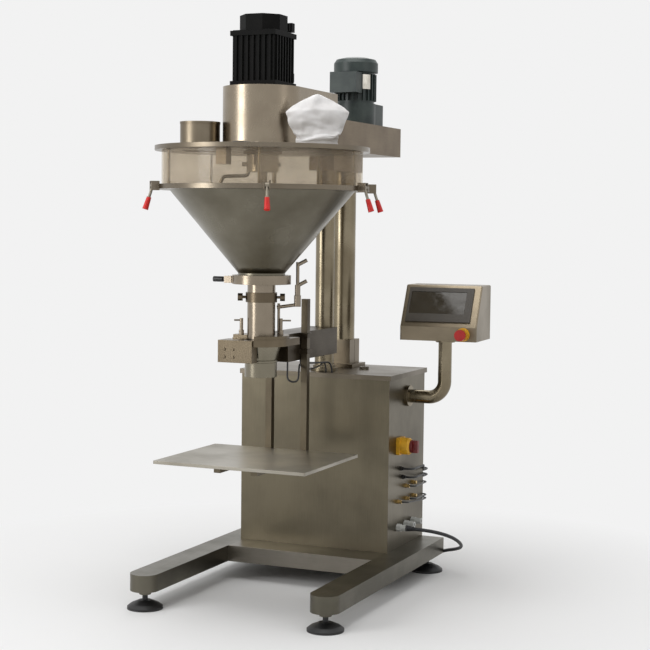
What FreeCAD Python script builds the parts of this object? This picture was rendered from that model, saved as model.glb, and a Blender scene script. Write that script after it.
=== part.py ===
import FreeCAD, Part
import math
import os
import re
import Sketcher

# Auger powder filler: a floor machine that doses powder from a hopper into a bag.
# Frame: +Z up, front of the machine towards -Y, right side towards +X, origin on the floor
# under the middle of the machine's outer box.  All lengths in millimetres.

doc = FreeCAD.newDocument("AugerFiller")
Vector = FreeCAD.Vector
X, Y, Z = Vector(1, 0, 0), Vector(0, 1, 0), Vector(0, 0, 1)

# ---------------------------------------------------------------- driving dimensions
DIMS = [
    ("mid_x", -81.9, "x of the machine's middle plane"),
    ("face_y", 114.4, "y of the cabinet's front face"),
    # base
    ("rail_wide", 86, "width of a base rail"),
    ("rail_high", 50, "height of a base rail"),
    ("rail_under", 54, "height of the rails' underside"),
    ("rail_mid", 285, "middle plane to the middle of a rail"),
    ("rail_front", 596, "cabinet face to the front end of a rail"),
    ("rail_back", 312, "cabinet face to the back end of a rail"),
    ("tube_wall", 3, "wall of the base tubes"),
    ("beam_front", 108, "cabinet face to the front of the front beam"),
    ("stem_rad", 8, "radius of a levelling foot's stem"),
    ("pad_rad", 52, "radius of a levelling foot's pad"),
    ("foot_inset", 44, "end of a rail to its foot"),
    # cabinet
    ("cab_wide", 504, "cabinet width"),
    ("cab_deep", 319, "cabinet depth"),
    ("cab_top", 654, "height of the cabinet lid's top"),
    ("plate", 2.5, "sheet thickness of the cabinet"),
    ("lid_high", 15, "depth of the cabinet lid's rim"),
    ("lid_over", 6, "overhang of the cabinet lid"),
    ("door_gap", 3, "gap round the back door"),
    ("pin_rad", 3, "radius of a hinge pin"),
    ("back_flange", 46, "width of the fixed strip beside the back door"),
    # right side of the cabinet
    ("switch_y", 91, "cabinet face to the main switch"),
    ("switch_z", 428, "height of the main switch"),
    ("switch_wide", 54, "side of the main switch's housing"),
    ("switch_deep", 40, "depth of the main switch's housing"),
    ("pipe_rad", 21, "radius of the panel's carrying pipe"),
    ("pipe_y", 160, "cabinet face to the carrying pipe"),
    ("pipe_z", 578, "height of the pipe where it leaves the cabinet"),
    ("pipe_out", 122.5, "cabinet side to the upright stretch of pipe"),
    ("pipe_bend", 52, "bend radius of the pipe's middle line"),
    # operator panel
    ("panel_wide", 243, "width of the operator panel"),
    ("panel_deep", 177, "depth of the operator panel at its base"),
    ("panel_low", 762, "height of the operator panel's base"),
    ("panel_knee", 805, "height where the panel's front starts to slope"),
    ("panel_high", 931, "height of the operator panel's top"),
    ("panel_back", 68, "how far the slope leans back"),
    ("panel_turn", 3.4, "swivel of the operator panel at rest, in degrees"),
    # columns
    ("post_rad", 36, "radius of the rear column"),
    ("post_y", 230, "cabinet face to the rear column"),
    ("guide_rad", 30, "radius of the front column"),
    ("guide_y", 75, "cabinet face to the front column"),
    ("case_low", 1341, "height of the drive case's underside"),
    # drive head
    ("case_wide", 200, "width of the drive case"),
    ("case_high", 90, "height of the drive case"),
    ("case_back", 467, "cabinet face to the back of the drive case"),
    ("dome_rad", 115, "radius of the drive housing's round front"),
    ("dome_top", 1504, "height of the drive housing's top"),
    ("dome_back", 110, "cabinet face to the back of the drive housing"),
    ("servo_wide", 142, "side of the servo motor"),
    ("servo_high", 157, "height of the servo motor's body"),
    ("motor_y", 310, "cabinet face to the gear motor's axis"),
    ("output_y", 398, "cabinet face to the gearbox's output axis"),
    ("chain_z", 1385, "height of the agitator chain"),
    # hopper, on the auger's axis
    ("auger_y", 385, "cabinet face to the auger's axis"),
    ("win_rad", 288, "outer radius of the clear window"),
    ("win_wall", 5, "wall of the clear window"),
    ("ring_rad", 308, "radius of the hopper's rings"),
    ("lid_low", 1321, "height of the hopper lid's underside"),
    ("lid_thick", 13, "thickness of the hopper lid"),
    ("ring_top", 1224, "height of the lower ring's top"),
    ("ring_thick", 14, "thickness of the lower ring"),
    ("cone_rad", 266, "outer radius of the cone's top"),
    ("cone_low", 974, "height of the cone's lower end"),
    ("mouth_rad", 68, "outer radius of the cone's lower end"),
    ("cone_wall", 3, "wall of the cone"),
    ("flange_rad", 78, "radius of the cone's lower flange"),
    # dosing tube and auger
    ("tube_rad", 40.5, "outer radius of the dosing tube"),
    ("tube_bore", 37.5, "bore radius of the dosing tube"),
    ("tube_low", 685, "height of the dosing tube's mouth"),
    ("flight_rad", 36.5, "radius of the auger's flight"),
    ("shaft_rad", 14, "radius of the auger's shaft"),
    ("flight_pitch", 52, "pitch of the auger's flight"),
    ("sleeve_rad", 22, "outer radius of the agitator's sleeve"),
    ("run_fit", 0.05, "radial clearance of a shaft in its bearing"),
    ("nose_rad", 11, "radius of the auger's end in the servo motor"),
    ("output_rad", 14, "radius of the gearbox's output shaft"),
    # weighing head
    ("arm_half", 47, "half width of the weighing arm"),
    ("arm_low", 711, "height of the arm's underside"),
    ("arm_high", 82, "height of the arm"),
    ("head_rad", 84, "radius of the head plate's round front"),
    ("head_low", 765, "height of the head plate's underside"),
    ("head_thick", 21, "thickness of the head plate"),
    ("spout_rad", 46.5, "outer radius of the bag spout"),
    ("spout_low", 674, "height of the bag spout's mouth"),
    # hanging tray
    ("bar_side", 20, "side of a hanging bar"),
    ("bar_play", 0.6, "play of a hanging bar in its guides"),
    ("bar_x", 58, "middle plane to a hanging bar"),
    ("bar_y", 200, "cabinet face to the hanging bars"),
    ("bar_top", 893, "height of the hanging bars' tops"),
    ("tray_wide", 474, "width of the tray"),
    ("tray_deep", 384, "depth of the tray"),
    ("tray_top", 440, "height of the tray's top"),
    ("tray_rim", 9, "depth of the tray's rim"),
    ("tray_sheet", 2, "thickness of the tray's sheet"),
]

sheet = doc.addObject("Spreadsheet::Sheet", "Dims")
for row, (alias, value, meaning) in enumerate(DIMS, 1):
    sheet.set("A%d" % row, meaning)
    sheet.set("B%d" % row, str(value))
    sheet.setAlias("B%d" % row, alias)
doc.recompute()
size = {alias: float(value) for alias, value, meaning in DIMS}
pieces = []


# ---------------------------------------------------------------- helpers
def bound(text):
    """Turn plain names in a formula into the sheet's cells."""
    return re.sub(r"[a-z_]+[a-z_0-9]*", lambda word: "Dims." + word[0] if word[0] in size else word[0], str(text))


def value(text):
    """The number that a formula gives with the sheet's present values."""
    return sheet.evalExpression(bound(text)) if isinstance(text, str) else float(text)


def place(made, x, y, z, turn=None):
    """Put an object at machine coordinates: x from the middle plane, y from the cabinet's face."""
    made.Placement = FreeCAD.Placement(Vector(0, 0, 0), turn or FreeCAD.Rotation())
    made.setExpression(".Placement.Base.x", bound("mid_x + (%s)" % x))
    made.setExpression(".Placement.Base.y", bound("face_y + (%s)" % y))
    made.setExpression(".Placement.Base.z", bound(z))
    return made


def keep(label, made):
    """Name a finished sub-part."""
    made.Label = label
    pieces.append(made)
    return made


def block(x, y, z, long, wide, high, turn=None):
    """A box from its corner x, y, z."""
    made = place(doc.addObject("Part::Box", "Block"), x, y, z, turn)
    made.setExpression("Length", bound(long))
    made.setExpression("Width", bound(wide))
    made.setExpression("Height", bound(high))
    return made


def centred(x, y, z, long, wide, high, turn=None):
    """A box centred on x, y and standing on z."""
    return block("(%s) - (%s) / 2" % (x, long), "(%s) - (%s) / 2" % (y, wide), z, long, wide, high, turn)


def rod(x, y, z, rad, high, turn=None):
    """A cylinder from its base centre, along its turned +Z."""
    made = place(doc.addObject("Part::Cylinder", "Rod"), x, y, z, turn)
    made.setExpression("Radius", bound(rad))
    made.setExpression("Height", bound(high))
    return made


def fuse(*parts):
    made = doc.addObject("Part::MultiFuse", "Fuse")
    made.Shapes = list(parts)
    made.Refine = True
    return made


def cut(base, *tools):
    made = doc.addObject("Part::Cut", "Cut")
    made.Base = base
    made.Tool = tools[0] if len(tools) == 1 else fuse(*tools)
    made.Refine = True
    return made


def group(*parts):
    made = doc.addObject("Part::Compound", "Group")
    made.Links = list(parts)
    return made


def tube(x, y, z, rad, bore, high, turn=None):
    return cut(rod(x, y, z, rad, high, turn), rod(x, y, z, bore, high, turn))


def soften(made, rad, pick):
    """Round the edges of an object that the test picks."""
    doc.recompute()
    edges = [(n, rad, rad) for n, edge in enumerate(made.Shape.Edges, 1) if pick(edge)]
    soft = doc.addObject("Part::Fillet", "Soft")
    soft.Base = made
    soft.Edges = edges
    return soft


def upright(edge):
    """True for a straight edge along Z."""
    ends = edge.Vertexes
    return len(ends) == 2 and abs(ends[0].Z - ends[1].Z) > 0.9 * edge.Length > 0


def drawn(body, role, corners):
    """A closed outline on one of a body's own planes, every corner tied to the sheet."""
    plane = [flat for flat in body.Origin.OriginFeatures if flat.Role == role][0]
    sketch = body.newObject("Sketcher::SketchObject", "Outline")
    sketch.AttachmentSupport = (plane, [""])
    sketch.MapMode = "FlatFace"
    spots = [Vector(value(across), value(up), 0) for across, up in corners]
    for n, spot in enumerate(spots):
        sketch.addGeometry(Part.LineSegment(spot, spots[(n + 1) % len(spots)]), False)
    for n, spot in enumerate(spots):
        sketch.addConstraint(Sketcher.Constraint("Coincident", n, 2, (n + 1) % len(spots), 1))
        across, up = corners[n]
        for axis, kind, number, text in (("x", "DistanceX", spot.x, across), ("y", "DistanceY", spot.y, up)):
            made = sketch.addConstraint(Sketcher.Constraint(kind, -1, 1, n, 1, number))
            sketch.renameConstraint(made, "%s%d" % (axis, n))
            if isinstance(text, str):
                sketch.setExpression("Constraints.%s%d" % (axis, n), bound(text))
    return sketch


def turned(x, y, z, corners, turn=None):
    """A solid of revolution about its own Z: the outline is (radius, height)."""
    body = doc.addObject("PartDesign::Body", "Turned")
    sketch = drawn(body, "XZ_Plane", corners)
    spin = body.newObject("PartDesign::Revolution", "Spin")
    spin.Profile = sketch
    spin.ReferenceAxis = (sketch, ["V_Axis"])
    spin.Angle = 360
    return place(body, x, y, z, turn)


def padded(x, y, z, role, corners, long, both=False, turn=None):
    """A flat outline padded along the normal of its plane."""
    body = doc.addObject("PartDesign::Body", "Padded")
    sketch = drawn(body, role, corners)
    pad = body.newObject("PartDesign::Pad", "Pad")
    pad.Profile = sketch
    pad.setExpression("Length", bound(long))
    pad.Midplane = both
    return place(body, x, y, z, turn)


def about(axis, degrees):
    return FreeCAD.Rotation(axis, degrees)


def ringed(rad, degrees):
    """Machine x and y formulas of a spot on a circle round the auger's axis, 0 degrees at the front."""
    across = "(%s) * sin(%g deg)" % (rad, degrees)
    along = "-auger_y - (%s) * cos(%g deg)" % (rad, degrees)
    return across, along


def lead(points, rad, bend=None):
    """A closed round tube of straight runs and arcs, as large as the runs allow or of one stated radius."""
    spots = [Vector(*spot) for spot in points]
    edges, radii, start = [], [], spots[0]
    for before, here, after in zip(spots, spots[1:], spots[2:]):
        back, ahead = (before - here).normalize(), (after - here).normalize()
        half = (math.pi - back.getAngle(ahead)) / 2
        reach = 0.45 * min((before - here).Length, (after - here).Length)
        if bend:
            reach = bend * math.tan(half)
        radii.append(reach / math.tan(half))
        first, last = here + back * reach, here + ahead * reach
        centre = here + (back + ahead).normalize() * (radii[-1] / math.cos(half))
        middle = centre + (here - centre).normalize() * radii[-1]
        edges.append(Part.LineSegment(start, first).toShape())
        edges.append(Part.Arc(first, middle, last).toShape())
        start = last
    edges.append(Part.LineSegment(start, spots[-1]).toShape())
    path = Part.Wire(edges)
    ring = Part.Wire([Part.Circle(spots[0], spots[1] - spots[0], rad).toShape()])
    sweep = Part.BRepOffsetAPI.MakePipeShell(path)
    sweep.add(ring)
    sweep.build()
    sweep.makeSolid()
    ratio = sweep.shape().Volume / (math.pi * rad * rad * path.Length)
    print("lead %.0f mm long, tightest radius %.0f mm, volume ratio %.3f" % (path.Length, min(radii), ratio))
    made = doc.addObject("Part::Feature", "Lead")
    made.Shape = sweep.shape()
    return place(made, "0", "0", "0")


# ---------------------------------------------------------------- base: rails, beams and feet
def rail(label, side):
    """A flat tube with a half-round front end, welded shut, with a boss for each foot."""
    mid = "%d * rail_mid" % side
    nose = "-rail_front + rail_wide / 2"
    outer = fuse(
        centred(mid, "(rail_back + (%s)) / 2" % nose, "rail_under", "rail_wide", "rail_back - (%s)" % nose,
                "rail_high"),
        rod(mid, nose, "rail_under", "rail_wide / 2", "rail_high"))
    deep = "rail_high - 2 * tube_wall"
    inner = fuse(
        centred(mid, "(rail_back - tube_wall + (%s)) / 2" % nose, "rail_under + tube_wall",
                "rail_wide - 2 * tube_wall", "rail_back - tube_wall - (%s)" % nose, deep),
        rod(mid, nose, "rail_under + tube_wall", "rail_wide / 2 - tube_wall", deep))
    spots = ("-rail_front + foot_inset", "rail_back - foot_inset")
    bosses = [rod(mid, spot, "rail_under - 12", "stem_rad * 2.2", "12 + tube_wall + 10") for spot in spots]
    bores = [rod(mid, spot, "rail_under - 13", "stem_rad + 0.3", "14 + tube_wall + 10") for spot in spots]
    shell = fuse(cut(outer, inner), *bosses)
    return keep(label, cut(shell, *bores))


def cross_beams():
    """Two open tubes that tie the rails and carry the cabinet."""
    span = "2 * rail_mid - rail_wide"
    beams = []
    for front, deep in (("-beam_front", "beam_front + 14"), ("rail_back - 62", "62")):
        outer = block("-(%s) / 2" % span, front, "rail_under", span, deep, "rail_high")
        inner = block("-(%s) / 2" % span, "(%s) + tube_wall" % front, "rail_under + tube_wall", span,
                      "(%s) - 2 * tube_wall" % deep, "rail_high - 2 * tube_wall")
        beams.append(cut(outer, inner))
    return keep("cross_beams", group(*beams))


def levelling_foot(label, side, spot):
    """A cupped pad on a long threaded stem that screws up into the rail."""
    mid = "%d * rail_mid" % side
    pad = turned(mid, spot, "0", [
        (0, 0), ("pad_rad", 0), ("pad_rad", 7), ("pad_rad * 0.8", 15), ("pad_rad * 0.36", 25), (0, 25)])
    stem = rod(mid, spot, "25", "stem_rad", "rail_under + 4")
    return keep(label, group(pad, stem))


rail("rail_left", -1)
rail("rail_right", 1)
cross_beams()
FRONT_SPOT = "-rail_front + foot_inset"
BACK_SPOT = "rail_back - foot_inset"
levelling_foot("foot_front_left", -1, FRONT_SPOT)
levelling_foot("foot_front_right", 1, FRONT_SPOT)
levelling_foot("foot_back_left", -1, BACK_SPOT)
levelling_foot("foot_back_right", 1, BACK_SPOT)

# ---------------------------------------------------------------- cabinet
CAB_LOW = "(rail_under + rail_high)"
SHELL_TOP = "(cab_top - 4)"
PIN_X = "(-cab_wide / 2 - 4.5)"
PIN_Y = "(cab_deep + 4)"
HINGES = (183, 523)


def cabinet_shell():
    """A folded box, open at the top and the back, with the fixed half of each door hinge."""
    outer = block("-cab_wide / 2", "0", CAB_LOW, "cab_wide", "cab_deep - 3", SHELL_TOP + " - " + CAB_LOW)
    inner = block("-cab_wide / 2 + plate", "plate", CAB_LOW + " + plate",
                  "cab_wide - 2 * plate", "cab_deep", "cab_top")
    hinge = []
    for low in HINGES:
        hinge.append(rod(PIN_X, PIN_Y, str(low), "pin_rad", 90))
        for foot in (low, low + 60.3):
            hinge.append(rod(PIN_X, PIN_Y, str(foot), "pin_rad * 2", 29.7))
            hinge.append(block(PIN_X + " - 2", "cab_deep - 40", str(foot), 6.5, "44", 29.7))
    flange = block("cab_wide / 2 - back_flange", "cab_deep - 3 - plate", CAB_LOW, "back_flange", "plate",
                   SHELL_TOP + " - " + CAB_LOW)
    return keep("cabinet_shell", fuse(cut(outer, inner), flange, *hinge))


def cabinet_lid():
    """A shallow pan turned upside down over the cabinet."""
    over = "lid_over"
    outer = block("-cab_wide / 2 - %s" % over, "-%s" % over, "cab_top - lid_high", "cab_wide + 2 * %s" % over,
                  "cab_deep + 2 * %s" % over, "lid_high")
    inner = block("-cab_wide / 2 - %s + plate" % over, "-%s + plate" % over, "cab_top - lid_high - 1",
                  "cab_wide + 2 * %s - 2 * plate" % over, "cab_deep + 2 * %s - 2 * plate" % over, "lid_high + 1 - 4")
    pan = soften(cut(outer, inner), 3, lambda edge: upright(edge) and edge.Length > 14)
    return keep("cabinet_lid", fuse(pan, tube("100", "167", "cab_top", 15, 7, 9)))


def rear_door():
    """A plain folded door on two barrel hinges at the back left."""
    low, high = CAB_LOW + " + door_gap", "cab_top - lid_high - door_gap"
    sheet_part = block("-cab_wide / 2 + door_gap", "cab_deep - 2.5", low, "cab_wide - back_flange - 2 * door_gap",
                       "plate", high + " - (" + low + ")")
    barrels, bores = [], []
    for foot in HINGES:
        barrels.append(rod(PIN_X, PIN_Y, str(foot + 30), "pin_rad * 2", 30))
        barrels.append(block(PIN_X, "cab_deep - 2.5", str(foot + 30), "door_gap + 10", "plate", 30))
        barrels.append(block(PIN_X + " - 1", "cab_deep - 2", str(foot + 30), 4, "6", 30))
        bores.append(rod(PIN_X, PIN_Y, str(foot + 29), "pin_rad + 0.06", 32))
    handle = block("cab_wide / 2 - back_flange - 40", "cab_deep", "363", 14, "16", 60)
    return keep("rear_door", cut(fuse(sheet_part, handle, *barrels), *bores))


def control_gear():
    """Mounting plate behind the front wall with the servo drive, the controller and the supply on it."""
    back = block("-200", "30", "153", 400, "2", 440)
    drive = block("-170", "32", "363", 60, "150", 170)
    brain = block("-60", "32", "403", 130, "90", 100)
    supply = block("95", "32", "383", 80, "100", 130)
    rail_part = block("-180", "32", "233", 360, "8", 35)
    legs = [block(x, "plate", CAB_LOW + " + plate", 20, "27.5", 52) for x in ("-190", "170")]
    foot = [block(x, "27", CAB_LOW + " + plate + 40", 20, "3", 40) for x in ("-190", "170")]
    frame = fuse(back, *(legs + foot))
    return keep("control_gear", group(frame, drive, brain, supply, rail_part))


cabinet_shell()
cabinet_lid()
rear_door()
control_gear()

# ---------------------------------------------------------------- right side of the cabinet
SIDE = "cab_wide / 2"
ALONG_X = about(Y, 90)


def main_switch():
    """Square foot and deep round collar of the isolator, and its turning knob with a bar grip."""
    wide = "switch_wide"
    foot = block(SIDE, "switch_y - %s / 2" % wide, "switch_z - %s / 2" % wide, 11, wide, wide)
    foot = soften(foot, 6, lambda edge: abs(edge.Vertexes[0].X - edge.Vertexes[-1].X) > 10)
    collar = turned(SIDE + " + 11", "switch_y", "switch_z", [
        (0, 0), ("switch_wide * 0.49", 0), ("switch_wide * 0.49", "switch_deep - 17"),
        ("switch_wide * 0.41", "switch_deep - 11"), (0, "switch_deep - 11")], ALONG_X)
    keep("switch_housing", fuse(foot, collar))
    disc = rod(SIDE + " + switch_deep + 0.4", "switch_y", "switch_z", "switch_wide * 0.37", 8, ALONG_X)
    grip = block(SIDE + " + switch_deep + 8.4", "switch_y - 7", "switch_z - switch_wide * 0.35", 15, 14,
                 "switch_wide * 0.7")
    keep("switch_knob", fuse(disc, grip))


LEADS_LOW = ((80, 253), (152, 253), (216, 252))
LEADS_HIGH = ((149, 293), (213, 295))
LEADS_THICK = ((105, 354), (123, 325))
GREY_Z = 171
MAINS_RAD = 5.5


def gland(y, z, rad, long):
    """A cable gland: a hexagon body and a round cap nut."""
    body = place(doc.addObject("Part::Prism", "Hex"), SIDE, y, z, ALONG_X)
    body.Polygon = 6
    body.setExpression("Circumradius", bound(rad))
    body.setExpression("Height", bound(long * 0.45))
    nut = rod(SIDE + " + %g" % (long * 0.45), y, z, rad * 0.8, long * 0.55, ALONG_X)
    return fuse(body, nut)


def cable_glands():
    """Three large grey glands for the mains, brass ones for the thin leads, black ones for the thick."""
    grey = [gland(y, GREY_Z, 12, 34) for y in (82, 149, 212)]
    grey[1:] = [cut(made, rod(SIDE + " + 26", y, GREY_Z, 5.9, 9, ALONG_X))
                for made, y in zip(grey[1:], (149, 212))]
    brass = [gland(y, z, 7, 15) for y, z in LEADS_LOW + LEADS_HIGH]
    black = [gland(y, z, 7, 12) for y, z in LEADS_THICK]
    return keep("cable_glands", group(*(grey + brass + black)))


def panel_pipe():
    """Bent round pipe on a bolted flange: it carries the operator panel."""
    out, bend = value("pipe_out"), value("pipe_bend")
    rise = value("panel_low - pipe_z - 0.3")
    body = doc.addObject("PartDesign::Body", "Pipe")
    planes = {flat.Role: flat for flat in body.Origin.OriginFeatures}
    path = body.newObject("Sketcher::SketchObject", "Path")
    path.AttachmentSupport = (planes["XZ_Plane"], [""])
    path.MapMode = "FlatFace"
    path.addGeometry(Part.LineSegment(Vector(0, 0, 0), Vector(out - bend, 0, 0)), False)
    quarter = Part.Circle(Vector(out - bend, bend, 0), Z, bend)
    path.addGeometry(Part.ArcOfCircle(quarter, -math.pi / 2, 0), False)
    path.addGeometry(Part.LineSegment(Vector(out, bend, 0), Vector(out, rise, 0)), False)
    ring = body.newObject("Sketcher::SketchObject", "Ring")
    ring.AttachmentSupport = (planes["YZ_Plane"], [""])
    ring.MapMode = "FlatFace"
    for n, rad in enumerate(("pipe_rad", "pipe_rad - tube_wall")):
        ring.addGeometry(Part.Circle(Vector(0, 0, 0), Z, value(rad)), False)
        ring.addConstraint(Sketcher.Constraint("Coincident", n, 3, -1, 1))
        named = ring.addConstraint(Sketcher.Constraint("Radius", n, value(rad)))
        ring.renameConstraint(named, "rad%d" % n)
        ring.setExpression("Constraints.rad%d" % n, bound(rad))
    sweep = body.newObject("PartDesign::AdditivePipe", "Sweep")
    sweep.Profile = ring
    sweep.Spine = path
    place(body, SIDE, "pipe_y", "pipe_z")
    flange = tube(SIDE, "pipe_y", "pipe_z", "pipe_rad + 12", "pipe_rad", 10, ALONG_X)
    stub = tube(SIDE + " + pipe_out", "pipe_y", "panel_low - 9", "pipe_rad + 9", "pipe_rad", 8.5)
    return keep("panel_pipe", fuse(body, flange, stub))


main_switch()
cable_glands()
panel_pipe()


# ---------------------------------------------------------------- operator panel
def operator_panel():
    """A desk-shaped box on the pipe: upright base strip and a sloped face for the screen."""
    turn = about(Z, value("panel_turn"))
    here = (SIDE + " + pipe_out", "pipe_y")
    half = "panel_deep / 2"
    box = padded(here[0], here[1], "0", "YZ_Plane", [
        ("-" + half, "panel_low"), ("-" + half, "panel_knee"), ("-%s + panel_back" % half, "panel_high"),
        (half, "panel_high"), (half, "panel_low")], "panel_wide", True, turn)
    box = soften(box, 5, lambda edge: edge.Length > 30 and edge.CenterOfMass.z > value("panel_low + 1"))
    wall = 3
    inside = padded(here[0], here[1], "0", "YZ_Plane", [
        ("-%s + %d" % (half, wall), "panel_low - 1"), ("-%s + %d" % (half, wall), "panel_knee"),
        ("-%s + panel_back + %d" % (half, wall), "panel_high - %d" % (wall + 1)),
        ("%s - %d" % (half, wall), "panel_high - %d" % (wall + 1)), ("%s - %d" % (half, wall), "panel_low - 1")],
        "panel_wide - %d" % (2 * wall), True, turn)
    bottom = padded(here[0], here[1], "0", "YZ_Plane", [
        ("-%s + %d" % (half, wall), "panel_low"), ("-%s + %d" % (half, wall), "panel_low + 2"),
        ("%s - %d" % (half, wall), "panel_low + 2"), ("%s - %d" % (half, wall), "panel_low")],
        "panel_wide - %d" % (2 * wall), True, turn)
    keep("panel_box", group(cut(box, inside), bottom))


operator_panel()

PANEL_X = "(cab_wide / 2 + pipe_out)"
lean = math.degrees(math.atan2(value("panel_back"), value("panel_high - panel_knee")))
turn_z = about(Z, value("panel_turn"))


def on_panel(made, across, front, height, tilt=0.0):
    """Place a piece on the swivelled panel: across to the right, front towards the user."""
    spin = math.radians(value("panel_turn"))
    x = "%s + (%s) * %.6f + (%s) * %.6f" % (PANEL_X, across, math.cos(spin), front, math.sin(spin))
    y = "pipe_y + (%s) * %.6f - (%s) * %.6f" % (across, math.sin(spin), front, math.cos(spin))
    return place(made, x, y, height, turn_z.multiply(about(X, tilt)))


def slab(long, wide, high):
    made = doc.addObject("Part::Box", "Slab")
    for name, text in (("Length", long), ("Width", wide), ("Height", high)):
        made.setExpression(name, bound(text))
    return made


def touch_screen():
    """Bezel frame and the glass set into it, lying on the sloped face."""
    tilt = 90 - lean
    step_up, step_in = math.sin(math.radians(tilt)), math.cos(math.radians(tilt))
    low, margin = 14, 27
    front = "panel_deep / 2 - %.4f" % (low * step_in / step_up)
    glass_front = "panel_deep / 2 - %.4f" % (low * step_in / step_up + margin * step_in)
    glass_low = "panel_knee + %.4f" % (low + margin * step_up)
    frame = on_panel(slab(206, 116, 5), -107, front, "panel_knee + %g" % low, tilt)
    opening = on_panel(slab(176, 75, 6), -99, glass_front, glass_low, tilt)
    keep("screen_frame", cut(frame, opening))
    keep("screen_glass", on_panel(slab(176, 75, 3.5), -99, glass_front, glass_low, tilt))


def peg(rad, long):
    made = doc.addObject("Part::Cylinder", "Peg")
    made.setExpression("Radius", bound(rad))
    made.setExpression("Height", bound(long))
    return made


def emergency_stop():
    """Yellow collar on the panel's base strip and the red mushroom button in it."""
    across, height, face = 80, "panel_low + 22", "panel_deep / 2"
    plate_part = on_panel(peg(21, 4), across, face, height, 90)
    collar = on_panel(peg(19, 19), across, face + " + 3", height, 90)
    bore = on_panel(peg(10.5, 24), across, face + " - 1", height, 90)
    keep("stop_collar", cut(fuse(plate_part, collar), bore))
    stem = on_panel(peg(10, 21), across, face + " + 6", height, 90)
    neck = on_panel(peg(14, 5), across, face + " + 26.5", height, 90)
    head = on_panel(peg(17, 11), across, face + " + 30.5", height, 90)
    keep("stop_button", fuse(stem, neck, head))


touch_screen()
emergency_stop()


# ---------------------------------------------------------------- columns
def columns():
    """Rear column in a square clamp block, front column on a round foot, both under the drive case."""
    foot = 12
    rise = "case_low - 58 - (cab_top + %d)" % foot
    post = tube("0", "post_y", "cab_top + %d" % foot, "post_rad", "post_rad - 4", rise)
    keep("rear_column", post)
    side, base = "post_rad * 2 + 8", "cab_top"
    clamp = cut(centred("0", "post_y", "cab_top + %d" % foot, side, side, 78),
                rod("0", "post_y", "cab_top", "post_rad", 120),
                block("post_rad - 8", "post_y - 1", "cab_top + %d" % foot, 14, "2", 80))
    plate_part = centred("0", "post_y", base, "post_rad * 3.1", "post_rad * 3.1", foot)
    keep("column_block", fuse(clamp, plate_part))
    guide = tube("0", "guide_y", "cab_top + 10", "guide_rad", "guide_rad - 4", "case_low - 58 - cab_top - 10")
    keep("front_column", fuse(guide, rod("0", "guide_y", "cab_top", "guide_rad + 13", 10),
                              rod("0", "guide_y", "cab_top + 10", "guide_rad + 5", 8)))


columns()


# ---------------------------------------------------------------- drive head
def drive_case():
    """Long chain case with its flat cover, and below it the bracket that sits on both columns."""
    length = "case_back - (-dome_back)"
    outer = block("-case_wide / 2", "-dome_back", "case_low", "case_wide", length, "case_high")
    inner = block("-case_wide / 2 + 4", "-dome_back + 4", "case_low + 5",
                  "case_wide - 8", length + " - 8", "case_high")
    door = block("-82", "-dome_back - 1", "case_low + 24", 164, "8", 44)
    deep = "post_y - guide_y + guide_rad + post_rad + 16"
    bracket = cut(
        block("-post_rad - 6", "guide_y - guide_rad - 8", "case_low - 58", "2 * post_rad + 12", deep, 58),
        block("-post_rad", "guide_y - guide_rad - 2", "case_low - 52", "2 * post_rad", deep + " - 12", 58))
    cover = block("-case_wide / 2", "-dome_back", "case_low + case_high",
                  "case_wide", "case_back + dome_back", 4)
    hole = rod("0", "output_y", "case_low + case_high - 1", 16, 6)
    return keep("drive_case", group(cut(outer, inner, door), bracket, cut(cover, hole)))


def dome(rad, low, high, back):
    """Half-round front and straight sides, as one form."""
    return fuse(rod("0", "-auger_y", low, rad, high),
                block("-(%s)" % rad, "-auger_y", low, "2 * (%s)" % rad, "auger_y - (%s)" % back, high))


def drive_housing():
    """Tall round-fronted housing over the hopper, open below and towards the chain case."""
    low = "lid_low + lid_thick"
    outer = dome("dome_rad", low, "dome_top - (%s)" % low, "dome_back")
    inner = dome("dome_rad - 3", low + " - 1", "dome_top - (%s) - 5" % low, "dome_back + 3")
    door = block("-82", "-dome_back - 6", "case_low + 24", 164, "12", 44)
    seat = rod("0", "-auger_y", "dome_top - 12", 40, 20)
    socket = block("34", "-auger_y - dome_rad - 6", low, 12, "16", 10)
    return keep("drive_housing", cut(fuse(outer, socket), inner, door, seat))


def servo_motor():
    """Square finned servo motor with its eight-sided encoder cap and two plug sockets."""
    half = "servo_wide / 2"
    base = "dome_top"
    core = centred("0", "-auger_y", base, "servo_wide - 12", "servo_wide - 12", "servo_high")
    ends = [centred("0", "-auger_y", low, "servo_wide", "servo_wide", 14)
            for low in (base, "dome_top + servo_high - 16")]
    fins = []
    for n in range(7):
        shift = "(%d) * servo_wide / 8" % (n - 3)
        fins.append(centred(shift, "-auger_y", "dome_top + 14", 6, "servo_wide - 2", "servo_high - 30"))
        fins.append(centred("0", "-auger_y + " + shift, "dome_top + 14",
                            "servo_wide - 2", 6, "servo_high - 30"))
    cap = place(doc.addObject("Part::Prism", "Cap"), "0", "-auger_y", "dome_top + servo_high", about(Z, 22.5))
    cap.Polygon = 8
    cap.setExpression("Circumradius", bound("servo_wide * 0.48"))
    cap.setExpression("Height", "45")
    sockets = [centred("servo_wide * 0.3", "-auger_y + servo_wide * 0.5 + 8", low, 28, 20, 26)
               for low in ("dome_top + 20", "dome_top + servo_high + 6")]
    link = centred("servo_wide * 0.3", "-auger_y + servo_wide * 0.46",
                   "dome_top + servo_high + 8", 22, 18, 20)
    bore = rod("0", "-auger_y", "dome_top - 1", "nose_rad + run_fit", 40)
    return keep("servo_motor", cut(fuse(core, cap, link, *(ends + fins + sockets)), bore))


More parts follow.
